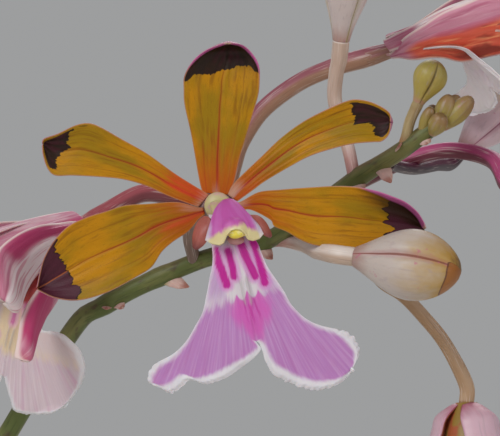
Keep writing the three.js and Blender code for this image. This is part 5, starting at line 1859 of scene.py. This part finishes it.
@dataclass
class Bloom:
    """A bloom: five tepals round a small receptacle, with its lip and column in front."""

    name: str
    at: Point
    facing: Point
    roll: float = 0
    folds: tuple[float, ...] = (0, 0, 0, 0, 0)
    rolled: tuple[float, ...] = (1, 1, 1, 1, 1)
    mesh: tuple[int, int] = (44, 100)
    lip_mesh: tuple[int, int] = (56, 180)
    skin: StalkSkin = PURPLE_STALK
    widening: float = 0.9
    flush: dict[str, Zone] = field(default_factory=dict)
    glow: dict[str, Zone] = field(default_factory=dict)
    bleach: dict[str, Zone] = field(default_factory=dict)
    tepal_finish: Finish = OCHRE_TEPAL
    tepal_slot: str = "ochre_tepal"

    def place(self) -> Array:
        """Returns the frame of the bloom."""
        return facing_frame(self.at, self.facing, self.roll)

    def node_name(self, part: str) -> str:
        """Returns the CAD node that a part of this bloom stands for."""
        return f"{self.name}_bloom_{part}"

    def flat_rod(self, part: str, points: Sequence[Point], widths: Pair, depth: float, side: Array) -> Piece:
        """Makes a flat rod, such as the claw of the lip.

        Args:
            part: Its name after the bloom's.
            points: Its route in mm, in the world.
            widths: Half its width at its two ends.
            depth: Half its thickness at its wider end.
            side: The way its width points.

        Returns:
            The rod.
        """
        route = Route(points)
        front = np.cross(side, route.samples[-1] - route.samples[0])

        def girth(t: Array, angle: Array) -> Array:
            """Returns the half width."""
            return between(widths, t)

        return rod(f"{self.name}_{part}", route, girth, 40, 40, 1, front, depth / max(widths))

    def build_tepals(self) -> None:
        """Makes the tepals and the receptacle behind them."""
        place = self.place()
        bare = Zone((2, 3))
        for tepal, fold, share in zip(TEPALS, self.folds, self.rolled):
            zones = {zone: getattr(self, zone).get(tepal.name, bare) for zone in ("flush", "glow", "bleach")}
            blade = tepal.build(place, fold, share, self.mesh, zones)
            blade.name = blade.data.name = f"{self.name}_{tepal.name}"
            settle(blade, self.tepal_finish, self.node_name("tepals"))

        def lobed(t: Array, angle: Array) -> Array:
            """Returns the girth of the receptacle."""
            return 1.2 + self.widening * smooth(0, 0.95, t) + 0.06 * np.cos(6 * angle)

        back, front = -3.6, 0.35 - 0.5 * self.widening
        ends = moved(place, [(0, 0, back), (0, 0, front)])
        knob = rod(f"{self.name}_receptacle", Route(ends), lobed, 48, 32, 4, UP)
        mark(knob, "along", 1)
        settle(knob, self.skin.finish(), self.node_name("tepals"))

    def build(self) -> None:
        """Makes the bloom."""
        self.build_tepals()
        place = self.place()
        side = place[:3, 0]
        lip = Lip(SPREAD_LIP, (1.25, -2.3, 2.9), mesh=self.lip_mesh).build(f"{self.name}_lip", place)
        neck = moved(place, [(0.3, -0.6, 0.9), (1.2, -2.6, 2.8), (2.2, -4.6, 4.7)])
        claw = self.flat_rod("lip_claw", neck, (1.2, 2.3), 0.5, side)
        for measure, value in (("neck", 2), ("margin", 5), ("stripe", 9), ("wedge", -9), ("throat", 1)):
            mark(claw, measure, value)
        hood = self.column()
        body = moved(place, [(0.3, 0.1, 0.8), (0.9, -0.5, 3.4), (2.2, -3.2, 6.2)])
        core = self.flat_rod("core", body, (1.1, 1.7), 0.75, side)
        foot = joined(f"{self.name}_column_foot", [self.oval("foot", (0.34, -0.2, 1.4), (1.6, 1.6, 0.8)), core])
        anther = self.oval("anther_cap", (2.58, -3.3, 7.6), (1.25, 0.8, 0.7), (48, 28), 0.05)
        beak = self.oval("rostellum", (2.55, -4.25, 6.7), (1.0, 0.62, 0.5))
        dressed = (
            (lip, FRESH_LIP), (claw, FRESH_LIP), (hood, COLUMN_FLESH), (foot, COLUMN_FOOT_FLESH),
            (anther, ANTHER_CAP), (beak, ROSTELLUM_FLESH), (self.ears(), EAR_FLESH),
        )
        for piece, finish in dressed:
            settle(piece, finish, self.node_name("lip_and_column"))

    def oval(
        self, part: str, centre: Point, radii: Point, mesh: tuple[int, int] = (40, 24), lobes: float = 0,
    ) -> Piece:
        """Makes a smooth oval body.

        Args:
            part: Its name after the bloom's.
            centre: Its centre in the bloom's frame.
            radii: Its half sizes in mm.
            mesh: Faces round it and along it.
            lobes: How far its four lobes stand out, as a share.

        Returns:
            The oval.
        """

        def layout(u: Array, v: Array) -> Laid:
            """Wraps the grid round the oval."""
            angle, rise = TURN * u, np.pi * (v - 0.5)
            ball = ring(np.cos(rise), angle, np.sin(rise))
            lobed = ball * (1 + lobes * np.cos(4 * angle + 0.9) * np.cos(rise))[:, None]
            places = moved(self.place(), lobed * np.array(radii) + np.array(centre))
            return places, {"flow": ball * 2, "along": v, "low": -ball[:, 1]}

        return close_up(lay_grid(f"{self.name}_{part}", *mesh, layout))

    def column(self) -> Piece:
        """Makes the hood of the column: narrow above, wide below, with a wavy cream margin round the anther.

        Returns:
            The hood.
        """
        left = Route([(1.35, 0.09, 4.0), (0.23, -0.92, 5.2), (-0.51, -2.7, 6.4), (-0.99, -4.37, 7.1)])
        right = Route([
            (1.35, 0.09, 4.0), (2.4, -0.06, 4.5), (3.9, -1.38, 5.6), (5.12, -2.51, 6.4), (5.77, -3.62, 6.9),
        ])
        margin = (
            (-1, 0), (-0.77, 0.5), (-0.5, 0.75), (-0.36, 0.5), (-0.25, -0.3), (-0.12, -0.8), (0.03, -0.95),
            (0.19, -0.8), (0.34, -0.3), (0.46, 0.45), (0.64, 0.65), (0.86, 0.5), (1, 0),
        )
        cream_edge = (
            (-1, 0.1), (-0.75, 0.7), (-0.5, 1.35), (-0.3, 0.75), (-0.1, 0.2), (0.12, 0.2), (0.3, 0.75), (0.55, 1.2),
            (0.8, 0.9), (1, 0.2),
        )

        def layout(u: Array, v: Array) -> Laid:
            """Rules the hood between its sides."""
            x = 2 * u - 1
            s = 0.03 + 0.97 * v
            flat, wide = ruled(left, right, s, u)
            flat[:, 2] += (1 - x**2) * (0.28 * wide) * (1 - 0.25 * s)
            hang = np.interp(x, *zip(*margin))
            flat[:, 1] -= hang * smooth(0.55, 1, v)
            low = (1 - s) * 5.0 + hang * (1 - smooth(0.55, 1, v))
            marks = {
                "along": s, "cream": np.interp(x, *zip(*cream_edge)) - low,
                "arch": bump(x - 0.03, 0.2),
                "corner": smooth(0.55, 0.95, np.abs(x)) * smooth(0.35, 0.85, s),
                "full": smooth(0, 0.25, 1 - v) * smooth(0, 0.12, 1 - np.abs(x)),
                "flow": spots(x * 3, 0, s * 5),
            }
            return moved(self.place(), flat), marks

        return thicken(lay_grid(f"{self.name}_column_hood", 72, 56, layout), 0.55, 0.35)

    def ears(self) -> Piece:
        """Makes the side lobes of the lip, one on each side of the column, with their arms.

        Returns:
            Both side lobes.
        """
        outlines = (
            (((-1.0, -1.9, 3.6), (-1.65, -2.5, 4.2), (-2.1, -3.8, 4.4), (-2.1, -5.15, 4.1)),
             ((-0.3, -1.9, 4.6), (-0.6, -3.0, 5.4), (-1.2, -4.4, 5.2), (-2.1, -5.15, 4.1))),
            (((4.1, -1.3, 4.2), (5.2, -1.4, 4.2), (6.15, -2.25, 4.1), (6.8, -3.65, 3.9), (6.6, -4.1, 3.8)),
             ((4.2, -1.7, 5.0), (5.0, -2.6, 5.3), (5.8, -3.7, 4.8), (6.6, -4.1, 3.8))),
        )
        lobes = []
        for outer, inner in outlines:

            def layout(u: Array, v: Array) -> Laid:
                """Rules the side lobe between its margins."""
                x = 2 * u - 1
                flat, _ = ruled(Route(outer), Route(inner), v * 0.98, u)
                flat[:, 2] += 0.45 * (1 - x**2) * np.sin(np.pi * np.clip(v, 0.02, 1))
                return moved(self.place(), flat), {"along": v, "flow": spots(x, 0, v * 4), "full": 1}

            lobes.append(close_up(thicken(lay_grid("ear", 24, 36, layout), 0.55, 0.5)))
            arm = moved(self.place(), [(1.2, -2.7, 3.2), np.add(outer[0], (0, -0.4, 0.1))])
            lobes.append(rod("arm", Route(arm), lambda t, angle: 0.55, 20, 10))
        return joined(f"{self.name}_side_lobes", lobes)


@dataclass
class ClosingBloom(Bloom):
    """A bloom past its best: its tepals fold forward, and its lip hangs in a frame of its own."""

    lip_shape: LipShape = ROUNDED_LIP
    lip_at: Point = (0, 0, 0)
    lip_facing: Point = (0, -1, 0)
    lip_scale: float = 1
    column_tip: Point = (0, 0, 0)
    widening: float = -0.25
    mesh: tuple[int, int] = (32, 80)
    tepal_finish: Finish = AGEING_TEPAL
    tepal_slot: str = "aged_bloom"

    def node_name(self, part: str) -> str:
        """Returns the one CAD node of this bloom."""
        return f"{self.name}_bloom"

    def build(self) -> None:
        """Makes the bloom."""
        self.build_tepals()
        hang = facing_frame(self.lip_at, self.lip_facing, 0)
        shift = np.eye(4)
        shift[:3, 3] = np.negative([*self.lip_shape.axis[0], self.lip_shape.height])
        lip_frame = hang @ np.diag([self.lip_scale, self.lip_scale, 1, 1]) @ shift
        root = moved(self.place(), (0.2, -0.3, -0.8))
        reach = np.linalg.inv(lip_frame) @ [*root, 1]
        blade = Lip(self.lip_shape, reach[:3], 1.2 / self.lip_scale, 0.22, (36, 120))
        lip = blade.build(f"{self.name}_lip", lip_frame)
        column = self.flat_rod("column", [root, self.column_tip], (1.2, 1.95), 0.6, hang[:3, 0])
        for piece, finish in ((lip, AGEING_LIP), (column, COLUMN_FLESH)):
            settle(piece, finish, self.node_name("lip"))


BLOOMS = [
    Bloom(
        "main", (80.8, -45, 441.7), (0, -1, 0),
        flush={
            "dorsal_sepal": Zone((-1, 0.2), strength=0.4), "left_petal": Zone((-1, 0.26), (-2, 0.3), 0.8),
            "right_petal": Zone((-1, 0.2), (-0.4, 2), 0.5), "left_sepal": Zone((-1, 0.28), (0.0, 0.6), 0.75),
            "right_sepal": Zone((-1, 0.18), (0, 2), 0.35),
        },
        bleach={
            "dorsal_sepal": Zone((-1, 0.05), (-0.3, 0.3)), "left_petal": Zone((-1, 0.03)),
            "right_petal": Zone((-1, 0.09), (-2, 0.2)), "left_sepal": Zone((-1, 0.14), (-2, -0.2), 0.6),
            "right_sepal": Zone((-1, 0.07), (-2, 0.4)),
        },
    ),
    ClosingBloom(
        "left", (62.8, -25, 438.7), (-0.75, -0.52, -0.41), -28, (80, 76, 58, 62, 58), (1, 1, 1.4, 1, 0.8),
        skin=ROSE_STALK,
        flush={
            "dorsal_sepal": Zone((-1, 2), (0.2, 2)), "right_petal": Zone((-1, 0.72), (-2, -0.2)),
            "right_sepal": Zone((0.5, 0.88)),
        },
        glow={"right_sepal": Zone((0.93, 2), strength=0.4)},
        bleach={"right_petal": Zone((0.3, 2), (-0.3, 2)), "dorsal_sepal": Zone((0.1, 2), (-2, -0.2), 0.5)},
        lip_at=(56.1, -32, 429), lip_facing=(-0.35, -0.92, -0.15), column_tip=(58.5, -27.8, 431.8),
    ),
    ClosingBloom(
        "top", (103.1, -27, 461.4), (0.9, -0.3, 0.26), 0, (88, 84, 84, 82, 80), (0.5, 1, 1, 0.85, 1),
        skin=PINK_STALK,
        flush={"dorsal_sepal": Zone((0.75, 2)), "left_petal": Zone((0.05, 0.4), (0.2, 2), 0.7)},
        glow={"left_sepal": Zone((0.12, 0.72), (-0.2, 1.2)), "left_petal": Zone((0.3, 0.9), (0.4, 2))},
        bleach={"left_sepal": Zone((0.75, 2)), "left_petal": Zone((0.2, 2), (-2, 0.2))},
        lip_shape=SPREAD_LIP, lip_at=(112.1, -31, 460.9), lip_facing=(0.5, 0.3, 0.81), lip_scale=0.62,
        column_tip=(114.4, -29, 462.6),
    ),
    Bloom(
        "right", (120.2, -42, 443.4), (0.88, -0.4, -0.15), 0, (34, 36, 32.6, 30, 28), mesh=(32, 80),
        lip_mesh=(34, 110), skin=MAGENTA_STALK,
        flush={name: Zone((-1, 0.22), strength=0.7) for name in ("dorsal_sepal", "left_petal", "right_petal")},
    ),
]
BLOOM_STALKS = [
    Stalk("main", (0.8, 1.15), [(77.9, -23, 434.3), (77.3, -27, 438), (78.5, -33.5, 441.2)], PURPLE_STALK),
    Stalk("left", (1.1, 1.25), [
        (81.4, -25, 435.3), (80.5, -21, 439.1), (77.8, -19.5, 442), (74.6, -20, 442.9), (70.7, -21, 443.1),
    ], ROSE_STALK),
    Stalk("top", (1, 1.25), [
        (83.5, -26, 435.9), (82.2, -23, 442.3), (83.1, -22, 447.5), (84.4, -22, 450.7), (86.9, -22, 454.2),
        (91.4, -23, 457.5), (96, -25, 459.4),
    ], PINK_STALK),
    Stalk("right", (0.9, 1.2), [
        (92.5, -33, 440.7), (96.9, -31, 443.5), (101.4, -29, 445.8), (105.5, -29, 447.6), (110.4, -31, 448.5),
        (115.2, -34, 447.2),
    ], MAGENTA_STALK),
]
BUD_STALKS = [
    Stalk("upper", (0.75, 1.05), [
        (97.9, -37, 444.7), (97.2, -36, 448.4), (96.3, -35, 451.5), (95.5, -35.1, 454.8), (95.65, -35.8, 457.8),
    ], CREAM_STALK),
    Stalk("front", (0.8, 1.15), [
        (86.5, -28, 436.8), (88.8, -29, 437.2), (91.4, -32, 436.7), (92.9, -38, 436.1), (93.3, -43, 436),
    ], CREAM_STALK),
    Stalk("lower", (0.75, 0.95), [
        (92.5, -33, 440.7), (95.7, -31, 439.1), (98.8, -31, 436), (101.3, -32, 432.2), (104.1, -33, 430.3),
        (106.6, -34, 427.7), (109.2, -35, 424.4),
    ], TAN_STALK),
    Stalk("rear", (0.7, 0.95), [(101.9, -38, 446.6), (105.5, -30, 446.2), (109, -21, 446.9)], MAROON_STALK),
    Stalk("small", (0.65, 0.72), [(103.6, -39, 448.3), (104.1, -39.4, 450)], GREEN_STALK),
]


# The studio


@dataclass(frozen=True)
class Lamp:
    """A soft rectangular lamp aimed at a point of the plant."""

    name: str
    at: Point
    aim: Point
    size: float
    power: float

    def build(self) -> None:
        """Hangs the lamp."""
        light = bpy.data.lights.new(self.name, "AREA")
        light.shape, light.size, light.energy = "SQUARE", self.size, self.power
        lamp = bpy.data.objects.new(self.name, light)
        bpy.context.scene.collection.objects.link(lamp)
        lamp.location = self.at
        lamp.rotation_euler = (Vector(self.aim) - Vector(self.at)).to_track_quat("-Z", "Y").to_euler()


@dataclass
class Studio:
    """A plain pale floor, soft lamps, and the camera where the photo was taken."""

    camera_at: Point = (0.085, -0.345, 0.440)
    lens: float = 180
    pale: str = "#cfd0d1"
    ambient: float = 0.54
    lamps: tuple[Lamp, ...] = (
        Lamp("key_lamp", (-0.75, -1.35, 1.35), (0.06, 0, 0.36), 0.7, 17),
        Lamp("fill_lamp", (1.4, -1.1, 0.7), (0.05, 0, 0.3), 0.9, 6),
        Lamp("back_lamp", (0.3, 1.4, 1.5), (0.03, 0, 0.3), 0.9, 9),
    )

    def build(self) -> None:
        """Sets up the camera, the lamps and the floor."""
        scene = bpy.context.scene
        camera = bpy.data.objects.new("camera", bpy.data.cameras.new("camera"))
        scene.collection.objects.link(camera)
        camera.location = self.camera_at
        camera.rotation_euler = (math.radians(90), 0, 0)
        camera.data.lens, camera.data.sensor_width = self.lens, 36
        camera.data.clip_start, camera.data.clip_end = 0.01, 50
        scene.camera = camera
        scene.view_settings.view_transform = "Standard"
        world = bpy.data.worlds.new("studio")
        scene.world = world
        world.use_nodes = True
        world.node_tree.nodes["Background"].inputs["Color"].default_value = linear(self.pale)
        world.node_tree.nodes["Background"].inputs["Strength"].default_value = self.ambient
        for lamp in self.lamps:
            lamp.build()
        pick()
        bpy.ops.mesh.primitive_plane_add(size=4)
        floor = bpy.context.object
        floor.name = floor.data.name = "studio_floor"
        floor.data.materials.append(FLOOR_PAINT.material())


def main() -> None:
    """Builds the plant in its pot, from the pot up, and the studio round it."""
    Studio().build()
    Pot().build()
    Medium().build()
    Rhizome().build()
    for shoot in SHOOTS:
        shoot.build()
    FlowerStem().build()
    touch, receptacle, shoulder = 0.35, 1.6, 0.3
    carried = {bloom.name: bloom for bloom in BLOOMS}
    for stalk in BLOOM_STALKS:
        bloom = carried[stalk.name]
        stalk.build(bloom.at, unit(bloom.facing), touch + receptacle, shoulder)
    for stalk, bud in zip(BUD_STALKS, BUDS):
        stalk.build(bud.foot, unit(np.subtract(bud.tip, bud.foot)), touch)
    for bud in BUDS:
        bud.build()
    for bloom in BLOOMS:
        bloom.build()
    log.info("The plant has %d pieces", len(bpy.data.meshes))


if __name__ == "__main__":
    logging.basicConfig(level=logging.INFO, format="%(name)s: %(message)s")
    main()
